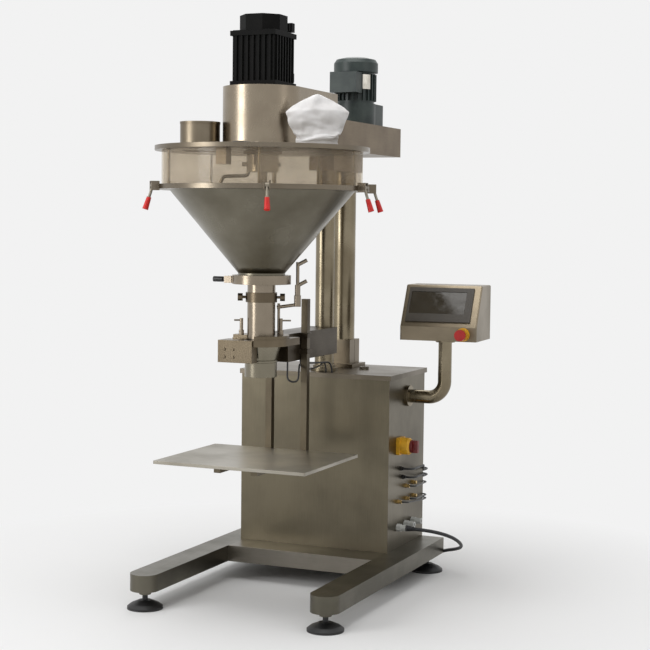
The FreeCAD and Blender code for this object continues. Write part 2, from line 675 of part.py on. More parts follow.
def gear_motor():
    """Flat gearbox, motor barrel with cooling ribs, domed fan cover and terminal box."""
    low = "case_low + case_high + 4"
    high = 74
    box = fuse(rod("0", "output_y", low, 58, high), rod("0", "motor_y", low, 65, high),
               block("-58", "motor_y", low, 116, "output_y - motor_y", high))
    box = cut(box, rod("0", "output_y", low + " - 1", "output_rad + run_fit", 40))
    barrel = rod("0", "motor_y", low + " + %d" % high, 60, 100)
    ribs = []
    for n in range(12):
        turn = about(Z, 15 * n)
        fin = doc.addObject("Part::Box", "Fin")
        fin.Length, fin.Width, fin.Height = 136, 3.5, 86
        shift = turn.multVec(Vector(-68, -1.75, 0))
        place(fin, "%.4f" % shift.x, "motor_y + (%.4f)" % shift.y, low + " + %d" % (high + 8), turn)
        ribs.append(fin)
    cover = turned("0", "motor_y", low + " + %d" % (high + 100), [
        (0, 0), (72, 0), (72, 30), (64, 42), (40, 48), (0, 50)])
    terminal = cut(block("-48", "motor_y - 104", low + " + %d" % (high + 30), 92, "60", 66),
                   rod("0", "motor_y", low, 68.6, 300))
    return keep("gear_motor", group(box, fuse(barrel, *ribs), terminal, cover))


def sprocket(x, y, z, teeth, rad, bore, thick):
    """A roller chain sprocket: a disc with round tooth gaps cut by a pattern, and its hub."""
    body = doc.addObject("PartDesign::Body", "Sprocket")
    planes = {flat.Role: flat for flat in body.Origin.OriginFeatures}
    disc = body.newObject("Sketcher::SketchObject", "Disc")
    disc.AttachmentSupport = (planes["XY_Plane"], [""])
    disc.MapMode = "FlatFace"
    disc.addGeometry(Part.Circle(Vector(0, 0, 0), Z, rad + 2.5), False)
    disc.addGeometry(Part.Circle(Vector(0, 0, 0), Z, bore), False)
    pad = body.newObject("PartDesign::Pad", "Pad")
    pad.Profile = disc
    pad.Length = thick
    gap = body.newObject("Sketcher::SketchObject", "Gap")
    gap.AttachmentSupport = (planes["XY_Plane"], [""])
    gap.MapMode = "FlatFace"
    gap.addGeometry(Part.Circle(Vector(rad + 2.2, 0, 0), Z, 3.4), False)
    pocket = body.newObject("PartDesign::Pocket", "Pocket")
    pocket.Profile = gap
    pocket.Type = 1
    pocket.Midplane = True
    pattern = body.newObject("PartDesign::PolarPattern", "Teeth")
    pattern.Originals = [pocket]
    pattern.Axis = (disc, ["N_Axis"])
    pattern.Angle = 360
    pattern.Occurrences = teeth
    body.Tip = pattern
    return place(body, x, y, z)


CHAIN_PITCH = 15.875
SMALL_TEETH, LARGE_TEETH = 17, 34


def pitch_rad(teeth):
    return CHAIN_PITCH / (2 * math.sin(math.pi / teeth))


def drive_chain():
    """The closed chain as one band round both sprockets, running clear of the case's walls."""
    small, large = pitch_rad(SMALL_TEETH), pitch_rad(LARGE_TEETH)
    span = value("output_y + auger_y")
    dip = math.asin((large - small) / span)

    def loop(extra):
        near, far = large + extra, small + extra
        start = Vector(near * math.cos(dip), near * math.sin(dip), 0)
        end = Vector(far * math.cos(dip), span + far * math.sin(dip), 0)
        mirrored = [Vector(-spot.x, spot.y, 0) for spot in (start, end)]
        return Part.Wire([
            Part.LineSegment(start, end).toShape(),
            Part.Arc(end, Vector(0, span + far, 0), mirrored[1]).toShape(),
            Part.LineSegment(mirrored[1], mirrored[0]).toShape(),
            Part.Arc(mirrored[0], Vector(0, -near, 0), start).toShape()])

    outer, inner = [Part.Face(loop(extra)).extrude(Vector(0, 0, 9)) for extra in (9, 3.2)]
    chain = doc.addObject("Part::Feature", "Chain")
    chain.Shape = outer.cut(inner)
    return keep("drive_chain", place(chain, "0", "-auger_y", "chain_z - 4.5"))


drive_case()
drive_housing()
servo_motor()
gear_motor()
drive_chain()
driver = sprocket("0", "output_y", "chain_z - 3.5", SMALL_TEETH, pitch_rad(SMALL_TEETH), 8, 7)
keep("drive_sprocket", fuse(driver, rod("0", "output_y", "chain_z - 12", "output_rad", 76)))


# ---------------------------------------------------------------- hopper
LID_TOP = "(lid_low + lid_thick)"
INLET = ("-165", "-auger_y - 71")
SENSOR = ("-58", "-auger_y - 132")
ROD_ANGLES = (24, 96, 168, 240, 312)
CLAMP_ANGLES = (28, 88, 118, 208, 313)


def hopper():
    """Lid, clear window, lower ring with the clamps' brackets, and the cone with its flange."""
    axis = ("0", "-auger_y")
    plate_part = rod(axis[0], axis[1], "lid_low", "ring_rad", "lid_thick")
    holes = [rod(axis[0], axis[1], "lid_low - 1", 30, "lid_thick + 2"),
             rod(INLET[0], INLET[1], "lid_low - 1", 54, "lid_thick + 2"),
             rod(SENSOR[0], SENSOR[1], "lid_low - 1", 8.2, "lid_thick + 2")]
    keep("hopper_lid", cut(plate_part, *holes))
    keep("hopper_window", tube(axis[0], axis[1], "ring_top",
                               "win_rad", "win_rad - win_wall", "lid_low - ring_top"))
    ring = tube(axis[0], axis[1], "ring_top - ring_thick", "ring_rad", "cone_rad - 4", "ring_thick")
    brackets = []
    for angle in CLAMP_ANGLES:
        turn = about(Z, angle)
        for shift in (-10, 6):
            ear = doc.addObject("Part::Box", "Ear")
            ear.Length, ear.Width, ear.Height = 4, 24, 26
            spot = turn.multVec(Vector(shift, -value("ring_rad") - 20, 0))
            place(ear, "%.4f" % spot.x, "-auger_y + (%.4f)" % spot.y, "ring_top - ring_thick - 4", turn)
            brackets.append(ear)
        brackets.append(pin(angle, "ring_rad + 13", "ring_top - ring_thick + 9", 3, 20))
    keep("hopper_ring", fuse(ring, *brackets))
    inner = "cone_wall * 1.29"
    top = "ring_top - ring_thick"
    cone = turned(axis[0], axis[1], "0", [
        ("mouth_rad", "cone_low"), ("cone_rad", top), ("cone_rad - %s" % inner, top),
        ("mouth_rad - cone_wall", "cone_low + 1"), ("mouth_rad - cone_wall", "cone_low - 16"),
        ("flange_rad", "cone_low - 16"), ("flange_rad", "cone_low - 6"), ("mouth_rad", "cone_low - 6")])
    return keep("hopper_cone", cone)


def pin(angle, rad, z, thick, long):
    """A short pin lying along the ring's tangent, centred at a radius."""
    turn = about(Z, angle)
    made = doc.addObject("Part::Cylinder", "Pin")
    made.Radius, made.Height = thick, long
    spot = turn.multVec(Vector(-long / 2, -value(rad), 0))
    return place(made, "%.4f" % spot.x, "-auger_y + (%.4f)" % spot.y, z, turn.multiply(about(Y, 90)))


LEVER_LEAN = 18


def clamp_lever(label, angle):
    """Toggle clamp: an eye on the ring's pin, a steel arm and a dipped grip that hangs outwards."""
    turn = about(Z, angle)
    eye_z = "ring_top - ring_thick + 9"
    eye = pin(angle, "ring_rad + 13", eye_z, 7, 11)
    bore = pin(angle, "ring_rad + 13", eye_z, 3.06, 13)
    spot = turn.multVec(Vector(0, -value("ring_rad") - 13, 0))
    parts = [eye]
    for near, far, start, long in ((4, 4, 0, 40), (6.5, 8.5, 34, 36)):
        away = turn.multiply(about(X, 180 - LEVER_LEAN))
        stretch = doc.addObject("Part::Cone", "Stretch")
        stretch.Radius1, stretch.Radius2, stretch.Height = near, far, long
        along = spot + away.multVec(Vector(0, 0, start))
        parts.append(place(stretch, "%.4f" % along.x, "-auger_y + (%.4f)" % along.y,
                           "%s + (%.4f)" % (eye_z, along.z), away))
    return keep(label, cut(fuse(*parts), bore))


hopper()
for number, angle in enumerate(CLAMP_ANGLES, 1):
    clamp_lever("clamp_lever_%d" % number, angle)


def tie_rods():
    """Rods with collars that clamp the lid to the lower ring outside the window."""
    rods = []
    for angle in ROD_ANGLES:
        across, along = ringed("win_rad - 14", angle)
        rods.append(rod(across, along, "ring_top", 4, "lid_low - ring_top"))
    return keep("tie_rods", group(*rods))


def lid_fittings():
    """Bearing hub under the lid, feed inlet with its cap, level sensor and the vent's cloth sleeve."""
    keep("bearing_hub", cut(rod("0", "-auger_y", "lid_low - 7", 56, 7),
                            rod("0", "-auger_y", "lid_low - 8", "sleeve_rad + run_fit", 10)))
    keep("feed_inlet", fuse(tube(INLET[0], INLET[1], LID_TOP, 57, 54, 64),
                            rod(INLET[0], INLET[1], LID_TOP + " + 64", 58, 6)))
    sensor = fuse(centred(SENSOR[0], SENSOR[1], "lid_low - 40", 32, 32, 40),
                  rod(SENSOR[0], SENSOR[1], "lid_low - 1", 8, "lid_thick + 1"),
                  rod(SENSOR[0], SENSOR[1], LID_TOP, 10, 9))
    keep("level_sensor", sensor)


def filter_bag():
    """Cloth vent sleeve tied over a stub on the lid: narrow at the waist, full above."""
    turn = about(Z, 23.4)
    corners = [(-72, 0), (72, 0), (68, 28), (88, 105), (0, 150), (-88, 105), (-66, 24)]
    bag = padded("191", "-auger_y - 50", LID_TOP, "XZ_Plane", corners, 50, True, turn)
    return keep("filter_bag", bag)


tie_rods()
lid_fittings()
filter_bag()


# ---------------------------------------------------------------- auger, agitator and dosing tube
def helicoid(rad, bore, pitch, low, high, thick, steps=16):
    """A screw flight as one closed solid of ruled strips, following the helix step by step."""
    count = int(round((high - low - thick) / pitch * steps))
    rungs = []
    for n in range(count + 1):
        turn = 2 * math.pi * n / steps
        base = low + pitch * n / steps
        corners = [(bore, base), (rad, base), (rad, base + thick), (bore, base + thick)]
        rungs.append([Vector(r * math.cos(turn), r * math.sin(turn), z) for r, z in corners])
    faces = [Part.Face(Part.makePolygon(end + [end[0]])) for end in (rungs[0], rungs[-1])]
    for here, there in zip(rungs, rungs[1:]):
        for n in range(4):
            after = (n + 1) % 4
            for three in ((here[n], here[after], there[after]), (here[n], there[after], there[n])):
                faces.append(Part.Face(Part.makePolygon(list(three) + [three[0]])))
    solid = Part.Solid(Part.Shell(faces))
    if solid.Volume < 0:
        solid.reverse()
    return solid


def auger():
    """The dosing screw: a long shaft up to the servo motor and a flight in the tube and cone."""
    shaft = rod("0", "-auger_y", "tube_low + 6", "shaft_rad", "dome_top - 34 - tube_low - 6")
    flight = doc.addObject("Part::Feature", "Flight")
    flight.Shape = helicoid(value("flight_rad"), value("shaft_rad") - 2, value("flight_pitch"),
                            value("tube_low") + 8, value("cone_low") + 20, 3)
    place(flight, "0", "-auger_y", "0")
    coupling = rod("0", "-auger_y", "dome_top - 80", 24, 46)
    nose = rod("0", "-auger_y", "dome_top - 40", "nose_rad", 56)
    return keep("auger", fuse(shaft, flight, coupling, nose))


def agitator():
    """Sleeve and hub round the auger's shaft, with a bent rod and a flat bar that sweep the cone's wall."""
    turn = about(Z, 23.4)
    hub_low, hub_high, hub_rad = "lid_low - 58", 50, 46
    sleeve = rod("0", "-auger_y", hub_low, "sleeve_rad", "chain_z + 18 - lid_low + 58")
    hub = rod("0", "-auger_y", hub_low, hub_rad, hub_high)
    ears = [block("%g" % x, "-auger_y + (%g)" % y, hub_low + " + 16", 14, "12", 12, turn)
            for x, y in ((-56 * math.cos(turn.Angle), -56 * math.sin(turn.Angle) - 6),
                         (42 * math.cos(turn.Angle), 42 * math.sin(turn.Angle) - 6))]
    drop = value("ring_top")

    def swept(route, rad, bend):
        spots = [turn.multVec(Vector(lateral, 0, 0)) + Vector(0, -value("auger_y"), z)
                 for lateral, z in route]
        return lead([(spot.x, spot.y, spot.z) for spot in spots], rad, bend)

    left = swept([(-40, drop + 50), (-40, drop + 28), (-112, drop + 26), (-150, drop - 60),
                  (-68, drop - 190)], 5, 12)
    right = swept([(34, drop + 50), (34, drop - 60), (84, drop - 120), (62, drop - 200)], 6, 14)
    wheel = sprocket("0", "-auger_y", "chain_z - 3.5", LARGE_TEETH, pitch_rad(LARGE_TEETH),
                     value("sleeve_rad") - 2, 7)
    bore = rod("0", "-auger_y", hub_low + " - 1", "shaft_rad + 1.5", 200)
    return keep("agitator", cut(fuse(sleeve, hub, wheel, left, right, *ears), bore))


def dosing_tube():
    """Flanged tube under the cone, its clamp ring, and the knobbed collar on it."""
    axis = ("0", "-auger_y")
    pipe = cut(fuse(rod(axis[0], axis[1], "tube_low", "tube_rad", "cone_low - 16 - tube_low"),
                    rod(axis[0], axis[1], "cone_low - 26", "flange_rad", 10)),
               rod(axis[0], axis[1], "tube_low - 1", "tube_bore", "cone_low"),
               turned(axis[0], axis[1], "cone_low - 24", [
                   (0, 0), ("tube_bore", 0), ("mouth_rad - cone_wall", 8), (0, 8)]))
    keep("dosing_tube", pipe)
    ring = cut(rod(axis[0], axis[1], "cone_low - 32", "flange_rad + 7", 26),
               rod(axis[0], axis[1], "cone_low - 26", "flange_rad", 20),
               rod(axis[0], axis[1], "cone_low - 33", "flange_rad - 6", 30))
    ears = []
    for shift in (-12, 12):
        ear = centred("-flange_rad - 12", "-auger_y - 24 + %d" % shift, "cone_low - 30", 24, 4, 20)
        ears.append(ear)
    stud = rod("-flange_rad - 16", "-auger_y - 24 - 12", "cone_low - 20", 3, 24, about(X, -90))
    keep("clamp_ring", fuse(ring, stud, *ears))
    knob_axis = about(Z, 23.4)
    collar = tube(axis[0], axis[1], "cone_low - 84", "tube_rad + 5", "tube_rad", 28)
    knobs = []
    for side in (-1, 1):
        for rad, start, long in ((4, 0, 14), (11, 10, 14)):
            made = doc.addObject("Part::Cylinder", "Knob")
            made.Radius, made.Height = rad, long
            here = knob_axis.multVec(Vector(side * (44 + start), 0, 0))
            knobs.append(place(made, "%.4f" % here.x, "-auger_y + (%.4f)" % here.y, "cone_low - 70",
                               knob_axis.multiply(about(Y, 90 * side))))
    keep("tube_collar", fuse(collar, *knobs))


def clamp_handle():
    """Lever that pulls the clamp ring tight, pivoting on the ring's stud."""
    hub = rod("-flange_rad - 16", "-auger_y - 31.6", "cone_low - 20", 7, 15.2, about(X, -90))
    bore = rod("-flange_rad - 16", "-auger_y - 33", "cone_low - 20", 3.06, 18, about(X, -90))
    arm = rod("-flange_rad - 18", "-auger_y - 24", "cone_low - 20", 5, 42, about(Y, -90))
    grip = rod("-flange_rad - 34", "-auger_y - 24", "cone_low - 20", 8, 30, about(Y, -90))
    return keep("clamp_handle", cut(fuse(hub, arm, grip), bore))


auger()
agitator()
dosing_tube()
clamp_handle()


# ---------------------------------------------------------------- weighing head
def weigh_head():
    """Box arm on the front column, round-fronted head plate with its ring, and the side block."""
    front, back = "-auger_y + 85", "guide_y - 8"
    outer = block("-arm_half", front, "arm_low", "2 * arm_half", "%s - (%s)" % (back, front), "arm_high")
    inner = block("-arm_half + 4", front + " + 4", "arm_low + 4", "2 * arm_half - 8",
                  "guide_y - guide_rad - 18 - (%s)" % front, "arm_high - 8")
    strap = rod("0", "guide_y", "arm_low + 12", "guide_rad + 8", "arm_high - 24")
    column = rod("0", "guide_y", "arm_low - 2", "guide_rad", "arm_high + 4")
    guides, channels = [], []
    for side in (-1, 1):
        for low in ("arm_low + arm_high - 16", "arm_low + 18"):
            guides.append(block("%g * bar_x - bar_side * 0.7" % side, "-bar_y - 17", low,
                                "bar_side * 1.4", "34", 14))
        channels.append(centred("%d * bar_x" % side, "-bar_y", "arm_low", "bar_side + bar_play", "bar_side + bar_play",
                                "arm_high"))
    keep("weigh_arm", cut(fuse(cut(outer, inner), strap, *guides), column, *channels))
    top = "head_low + head_thick"
    plate_part = fuse(rod("0", "-auger_y", "head_low", "head_rad", "head_thick"),
                      block("-head_rad", "-auger_y", "head_low", "2 * head_rad", "85", "head_thick"),
                      rod("0", "-auger_y", top, "head_rad - 2", 9))
    corner = ("-92", "-auger_y - 93", "arm_low + 8", 108, "70", 120)
    bore = rod("0", "-auger_y", "head_low - 90", "tube_rad", 160)
    junction = block(*corner[:5], top + " - 3 - arm_low - 8")
    bolts = [rod(x, "-auger_y - 93", z, 4, 3, about(X, 90))
             for x in ("-72", "-44") for z in ("arm_low + 24", "arm_low + 46")]
    keep("head_plate", group(cut(plate_part, bore, block(*corner)),
                             cut(fuse(junction, *bolts), rod("0", "-auger_y", "head_low - 90", 61, 160))))


def bag_spout():
    """Funnel and straight neck that the bag is pulled over, round the dosing tube."""
    wall = 3
    return keep("bag_spout", turned("0", "-auger_y", "0", [
        (58, "head_low"), ("spout_rad - 1", "arm_low + 12"), ("spout_rad + 2", "arm_low + 11"),
        ("spout_rad + 2", "arm_low + 6"), ("spout_rad", "arm_low + 5"), ("spout_rad", "spout_low"),
        ("spout_rad - %d" % wall, "spout_low"), ("spout_rad - %d" % wall, "arm_low + 8"),
        (58 - wall, "head_low")]))


def hanger():
    """Two square bars, their cross tie and the arms under the tray: one welded frame."""
    low = "tray_top - tray_rim - bar_side"
    parts = []
    for side in (-1, 1):
        mid = "%d * bar_x" % side
        parts.append(centred(mid, "-bar_y", low, "bar_side", "bar_side", "bar_top - (%s)" % low))
        parts.append(block("%s - bar_side / 2" % mid, "-bar_y - tray_deep + 40", low,
                           "bar_side", "tray_deep - 40", "bar_side"))
    parts.append(block("-bar_x", "-bar_y - 10", low, "2 * bar_x", "20", "bar_side"))
    keep("hanger_frame", fuse(*parts))
    front = "-bar_y - 11 - tray_deep"
    pan = block("-tray_wide / 2", front, "tray_top - tray_rim", "tray_wide", "tray_deep", "tray_rim")
    edge = "tray_sheet"
    beside = "tray_wide / 2 - bar_x - 14 - " + edge
    hollow = [block(x, "%s + %s" % (front, edge), "tray_top - tray_rim - 1", wide, "tray_deep - 2 * " + edge,
                    "tray_rim + 1 - " + edge)
              for x, wide in (("-tray_wide / 2 + " + edge, beside), ("-bar_x + 14", "2 * bar_x - 28"),
                              ("bar_x + 14", beside))]
    far = value("tray_wide / 2") - 0.1
    keep("tray", soften(cut(pan, *hollow), 4,
                        lambda edge: upright(edge) and abs(edge.Vertexes[0].X - value("mid_x")) > far))


def air_fittings():
    """Two T-handled latches on the head's ring, and the elbowed air pipe with its black taps."""
    turn = about(Z, 23.4)
    top = "head_low + head_thick + 9"
    parts = []

    def spot(lateral, deep):
        here = turn.multVec(Vector(lateral, deep, 0))
        return "%.4f" % here.x, "-auger_y + (%.4f)" % here.y

    for side, start in ((-1, -78), (1, 60)):
        x, y = spot(57 * side, 0)
        parts.append(rod(x, y, top, 7.5, 14))
        parts.append(rod(x, y, top + " + 14", 5, 34))
        x, y = spot(start, 0)
        parts.append(rod(x, y, top + " + 42", 2.5, 26, turn.multiply(about(Y, 90))))
    latches = group(fuse(*parts[:3]), fuse(*parts[3:]))
    x, y = spot(104, 10)
    post = rod(x, y, "cone_low - 34", 5, 66)
    elbow = rod(x, y, "cone_low - 64", 8, 30)
    valve = rod(x, y, "cone_low - 97", 10, 33)
    back = rod(x, y, "cone_low - 91", 5, 60, turn.multiply(about(Y, -98)))
    drop = rod(*spot(50, 10), top, 4, "cone_low - 88 - (%s)" % top)
    balls = [rod(x, y, z, 5.5, 30, turn.multiply(about(Y, 62))) for z in ("cone_low + 24", "cone_low - 36")]
    return keep("air_fittings", group(latches, fuse(post, elbow, valve, back, drop, *balls)))


weigh_head()
bag_spout()
hanger()
air_fittings()


# ---------------------------------------------------------------- leads
COIL_SPOT = ("118", "395")
COIL_IN, COIL_OUT = ("173.5", "5.7"), ("62.5", "16.8")


def mains_lead():
    """The mains lead from its gland to the floor, its put-away coil and its plug."""
    keep("mains_cable", lead([
        (286, 82, 171), (330, 82, 171), (382, 101, 163), (415, 144, 143), (424, 196, 116), (411, 248, 92),
        (375, 294, 73), (327, 326, 59), (276, 330, 36), (231, 318, 17), (195, 325, 8.2), (173.5, 355, 5.7)],
        MAINS_RAD))
    into = rod(COIL_IN[0], "355", COIL_IN[1], MAINS_RAD, 40, about(X, -90))
    out = rod(COIL_OUT[0], "335", COIL_OUT[1], MAINS_RAD, 60, about(X, -90))
    ring = cut(rod(*COIL_SPOT, "0.2", 72, 22.2), rod(*COIL_SPOT, "0", 39, 26))
    keep("mains_coil", fuse(ring, into, out))
    body = turned(COIL_OUT[0], "335", "19.4", [
        (0, 0), (7.5, 0), (9, 26), (17, 36), (19, 46), (19, 70), (0, 70)], about(X, 90))
    pins = [rod(x, "265", "19.4", 2.4, 19, about(X, 90)) for x in ("53", "72")]
    keep("mains_plug", fuse(body, *pins))


def side_leads():
    """Leads held from the side glands, round the back corner and in through the strip beside the door."""
    made = []
    for y, z, low in ((80, 253, 228), (152, 253, 239), (149, 293, 281)):
        made.append(lead([(267, y, z), (286, y, z), (263, 285, low), (263, 326.5, low), (232, 326.5, low),
                          (232, 304, low)], 2.4, 15.4))
    for y, z, low in ((105, 354, 325), (123, 325, 306)):
        made.append(lead([(264, y, z), (292, y, z), (290, 215, z - 2), (266, 280, low), (266, 329, low),
                          (226, 329, low), (226, 302, low)], 3.2, 19.8))
    return keep("side_leads", group(*made))


def head_leads():
    """Two weighing leads from the arm back into the cabinet lid, and the level sensor's lead on the hopper lid."""
    loop = lead([
        (18, -240, 713), (18, -240, 684), (17.5, -240, 648), (53.5, -240, 646), (54, -236, 686),
        (38, -198, 700), (39, -120, 694), (46, -46, 690), (56, 6, 688), (56, 8, 654)], 2.6)
    line = lead([
        (22, -158, 713), (22, -158, 680), (28, -112, 672), (33, -40, 676), (36, 4, 694), (36, 8, 654)], 2.2)
    sensor = lead([
        (-48, -517, 1338.5), (-30, -515, 1343), (-6, -508, 1345), (16, -501, 1341.5), (34, -499, 1338.5)], 2.4)
    return keep("head_leads", group(loop, line, sensor))


mains_lead()
side_leads()
head_leads()

# ---------------------------------------------------------------- checks and files
doc.recompute()
faults = [made.Name for made in doc.Objects if {"Invalid", "Error"} & set(made.State)]
faults += [made.Label for made in pieces if made.Shape.isNull() or not made.Shape.isValid()]
if faults:
    raise RuntimeError("failed objects: " + ", ".join(faults))
os.makedirs("parts", exist_ok=True)
whole = FreeCAD.BoundBox()
for made in pieces:
    made.Shape.exportStep("parts/%s.step" % made.Label)
    whole.add(made.Shape.BoundBox)
    print("%-20s solids %d  volume %9.1f cm3"
          % (made.Label, len(made.Shape.Solids), made.Shape.Volume / 1000))
print("pieces", len(pieces), "box", whole)
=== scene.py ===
import math

import bmesh
import bpy
from mathutils import Matrix, Vector, noise


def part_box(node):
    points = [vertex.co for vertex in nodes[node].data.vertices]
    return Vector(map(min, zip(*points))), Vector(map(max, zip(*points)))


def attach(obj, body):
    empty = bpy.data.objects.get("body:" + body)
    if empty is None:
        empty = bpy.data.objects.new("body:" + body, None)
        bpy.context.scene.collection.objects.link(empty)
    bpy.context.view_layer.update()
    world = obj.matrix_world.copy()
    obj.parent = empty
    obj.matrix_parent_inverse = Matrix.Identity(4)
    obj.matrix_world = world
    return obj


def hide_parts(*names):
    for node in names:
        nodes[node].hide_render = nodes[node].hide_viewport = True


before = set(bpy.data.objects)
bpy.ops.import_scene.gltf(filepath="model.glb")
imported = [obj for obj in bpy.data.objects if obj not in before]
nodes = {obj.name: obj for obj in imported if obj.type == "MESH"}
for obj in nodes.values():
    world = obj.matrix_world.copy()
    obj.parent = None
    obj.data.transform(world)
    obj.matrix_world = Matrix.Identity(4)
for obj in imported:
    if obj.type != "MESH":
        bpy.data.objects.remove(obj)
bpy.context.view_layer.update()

# ---------------------------------------------------------------- camera
# A long lens at chest height, from the front right, so that the cabinet's switch side shows.
# It is rolled by half a degree, as a camera on a hand-levelled tripod is.
CAMERA_PLACE = (1.8491, -4.2646, 1.121)
CAMERA_YAW, CAMERA_DOWN, CAMERA_ROLL = 23.42, 3.815, 0.65

camera = bpy.data.objects.new("camera", bpy.data.cameras.new("camera"))
bpy.context.scene.collection.objects.link(camera)
camera.data.lens, camera.data.sensor_width = 85.16, 36
camera.matrix_world = (
    Matrix.Translation(CAMERA_PLACE)
    @ Matrix.Rotation(math.radians(CAMERA_YAW), 4, "Z")
    @ Matrix.Rotation(math.radians(90 - CAMERA_DOWN), 4, "X")
    @ Matrix.Rotation(math.radians(CAMERA_ROLL), 4, "Z")
)
bpy.context.scene.camera = camera


# ---------------------------------------------------------------- leads
# Round PVC leads, black and a little dull. The mains lead hangs from its gland to the floor, and what
# is spare is wound up behind the cabinet; the others are short and held at both ends.
# Every route repeats the control points of its tube.
def linear(colour):
    """A colour written as sRGB hex, in the linear values that a shader takes."""
    parts = [int(colour[n:n + 2], 16) / 255 for n in (1, 3, 5)]
    return tuple(c / 12.92 if c < 0.04045 else ((c + 0.055) / 1.055) ** 2.4 for c in parts) + (1,)


def add(tree, kind, inputs=None, **settings):
    """Adds one node, with its settings, and its inputs as values or links."""
    node = tree.nodes.new(kind)
    for name, value in settings.items():
        setattr(node, name, value)
    for name, value in (inputs or {}).items():
        if isinstance(value, bpy.types.NodeSocket):
            tree.links.new(value, node.inputs[name])
        else:
            node.inputs[name].default_value = value
    return node


def begin(name):
    """A new material's tree, its surface shader and the object's own coordinates."""
    material = bpy.data.materials.new(name)
    material.use_nodes = True
    tree = material.node_tree
    place = add(tree, "ShaderNodeTexCoord").outputs["Object"]
    return material, tree, tree.nodes["Principled BSDF"], place


def dress(material, *names):
    """Gives one finish to CAD nodes, in every slot."""
    for name in names:
        nodes[name].data.materials.clear()
        nodes[name].data.materials.append(material)


def moulded(name, colour, worn, rough, grit=0.9, relief=0.00003):
    """Moulded plastic: an even colour that handling dulls in patches, and a fine spark-eroded skin."""
    material, tree, shader, place = begin(name)
    patches = add(tree, "ShaderNodeTexNoise", {"Vector": place, "Scale": 38.0, "Detail": 4.0, "Roughness": 0.6})
    share = add(tree, "ShaderNodeMapRange", {"Value": patches.outputs["Fac"], "From Min": 0.4, "From Max": 0.68})
    tone = add(tree, "ShaderNodeMix", {"Factor": share.outputs["Result"], "A": linear(colour),
                                       "B": linear(worn)}, data_type="RGBA")
    tree.links.new(tone.outputs["Result"], shader.inputs["Base Color"])
    sheen = add(tree, "ShaderNodeMapRange", {"Value": patches.outputs["Fac"], "From Min": 0.3, "From Max": 0.7,
                                             "To Min": rough - 0.05, "To Max": rough + 0.09})
    tree.links.new(sheen.outputs["Result"], shader.inputs["Roughness"])
    shader.inputs["IOR"].default_value = 1.5
    skin = add(tree, "ShaderNodeTexNoise", {"Vector": place, "Scale": 1000 / grit, "Detail": 2.0})
    edge = add(tree, "ShaderNodeBevel", {"Radius": 0.0006}, samples=4)
    bump = add(tree, "ShaderNodeBump", {"Height": skin.outputs["Fac"], "Strength": 0.5, "Distance": relief,
                                        "Normal": edge.outputs["Normal"]})
    tree.links.new(bump.outputs["Normal"], shader.inputs["Normal"])
    return material


MID_X, FACE_Y = -0.0819, 0.1144  # the column's middle plane and the cabinet's front, in metres
sheath = moulded("pvc_sheath", "#151517", "#232326", 0.42, grit=1.4)


def lead(name, points, thick):
    """A smooth round lead through its control points, in millimetres from the cabinet's front."""
    line = bpy.data.curves.new(name, "CURVE")
    line.dimensions = "3D"
    spline = line.splines.new("NURBS")
    spline.points.add(len(points) - 1)
    for spot, point in zip(spline.points, points):
        spot.co = (MID_X + point[0] / 1000, FACE_Y + point[1] / 1000, point[2] / 1000, 1)
    spline.order_u = 3
    spline.use_endpoint_u = True
    spline.resolution_u = 8
    line.bevel_depth = thick / 2000
    line.bevel_resolution = 5
    line.use_fill_caps = True
    line.materials.append(sheath)
    made = bpy.data.objects.new(name, line)
    bpy.context.scene.collection.objects.link(made)
    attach(made, "machine")
    return made


MAINS_THICK = 11
MAINS_ROUTE = [
    (286, 82, 171), (330, 82, 171), (382, 101, 163), (415, 144, 143), (424, 196, 116), (411, 248, 92),
    (375, 294, 73), (327, 326, 59), (276, 330, 36), (231, 318, 17), (195, 325, 8.2), (173.5, 355, 5.7)]
COIL_MIDDLE = (118, 395)
COIL_LAY = [  # turns so far, distance from the middle, height of the lead's centre
    (0, 55.5, 5.7), (1, 44.5, 5.7), (2, 44.5, 16.8), (2.5, 44.5, 16.8), (3, 55.5, 16.8), (3.25, 66.5, 9),
    (3.375, 66.5, 5.7), (3.75, 66.5, 5.7), (3.9, 66.5, 16.8), (4, 66.5, 19), (4.125, 61, 27),
    (4.25, 55.5, 18), (4.5, 55.5, 16.8)]
COIL_STEPS = 16  # points for each turn


def coil_turns():
    """The put-away turns: down in the middle, up, and out over the end that came in."""
    points = []
    for step in range(int(COIL_LAY[-1][0] * COIL_STEPS) + 1):
        turn = step / COIL_STEPS
        start, stop = next((a, b) for a, b in zip(COIL_LAY, COIL_LAY[1:]) if turn <= b[0])
        share = (turn - start[0]) / (stop[0] - start[0])
        rad = start[1] + share * (stop[1] - start[1])
        angle = 2 * math.pi * turn
        points.append((COIL_MIDDLE[0] + rad * math.cos(angle), COIL_MIDDLE[1] + rad * math.sin(angle),
                       start[2] + share * (stop[2] - start[2])))
    return points


mains = lead("mains_lead", MAINS_ROUTE + coil_turns() + [(62.5, 365, 16.8), (62.5, 335, 16.8)], MAINS_THICK)
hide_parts("mains_cable", "mains_coil")

BOOT_START, BOOT_LONG, BOOT_RIBS = 283, 26, 6


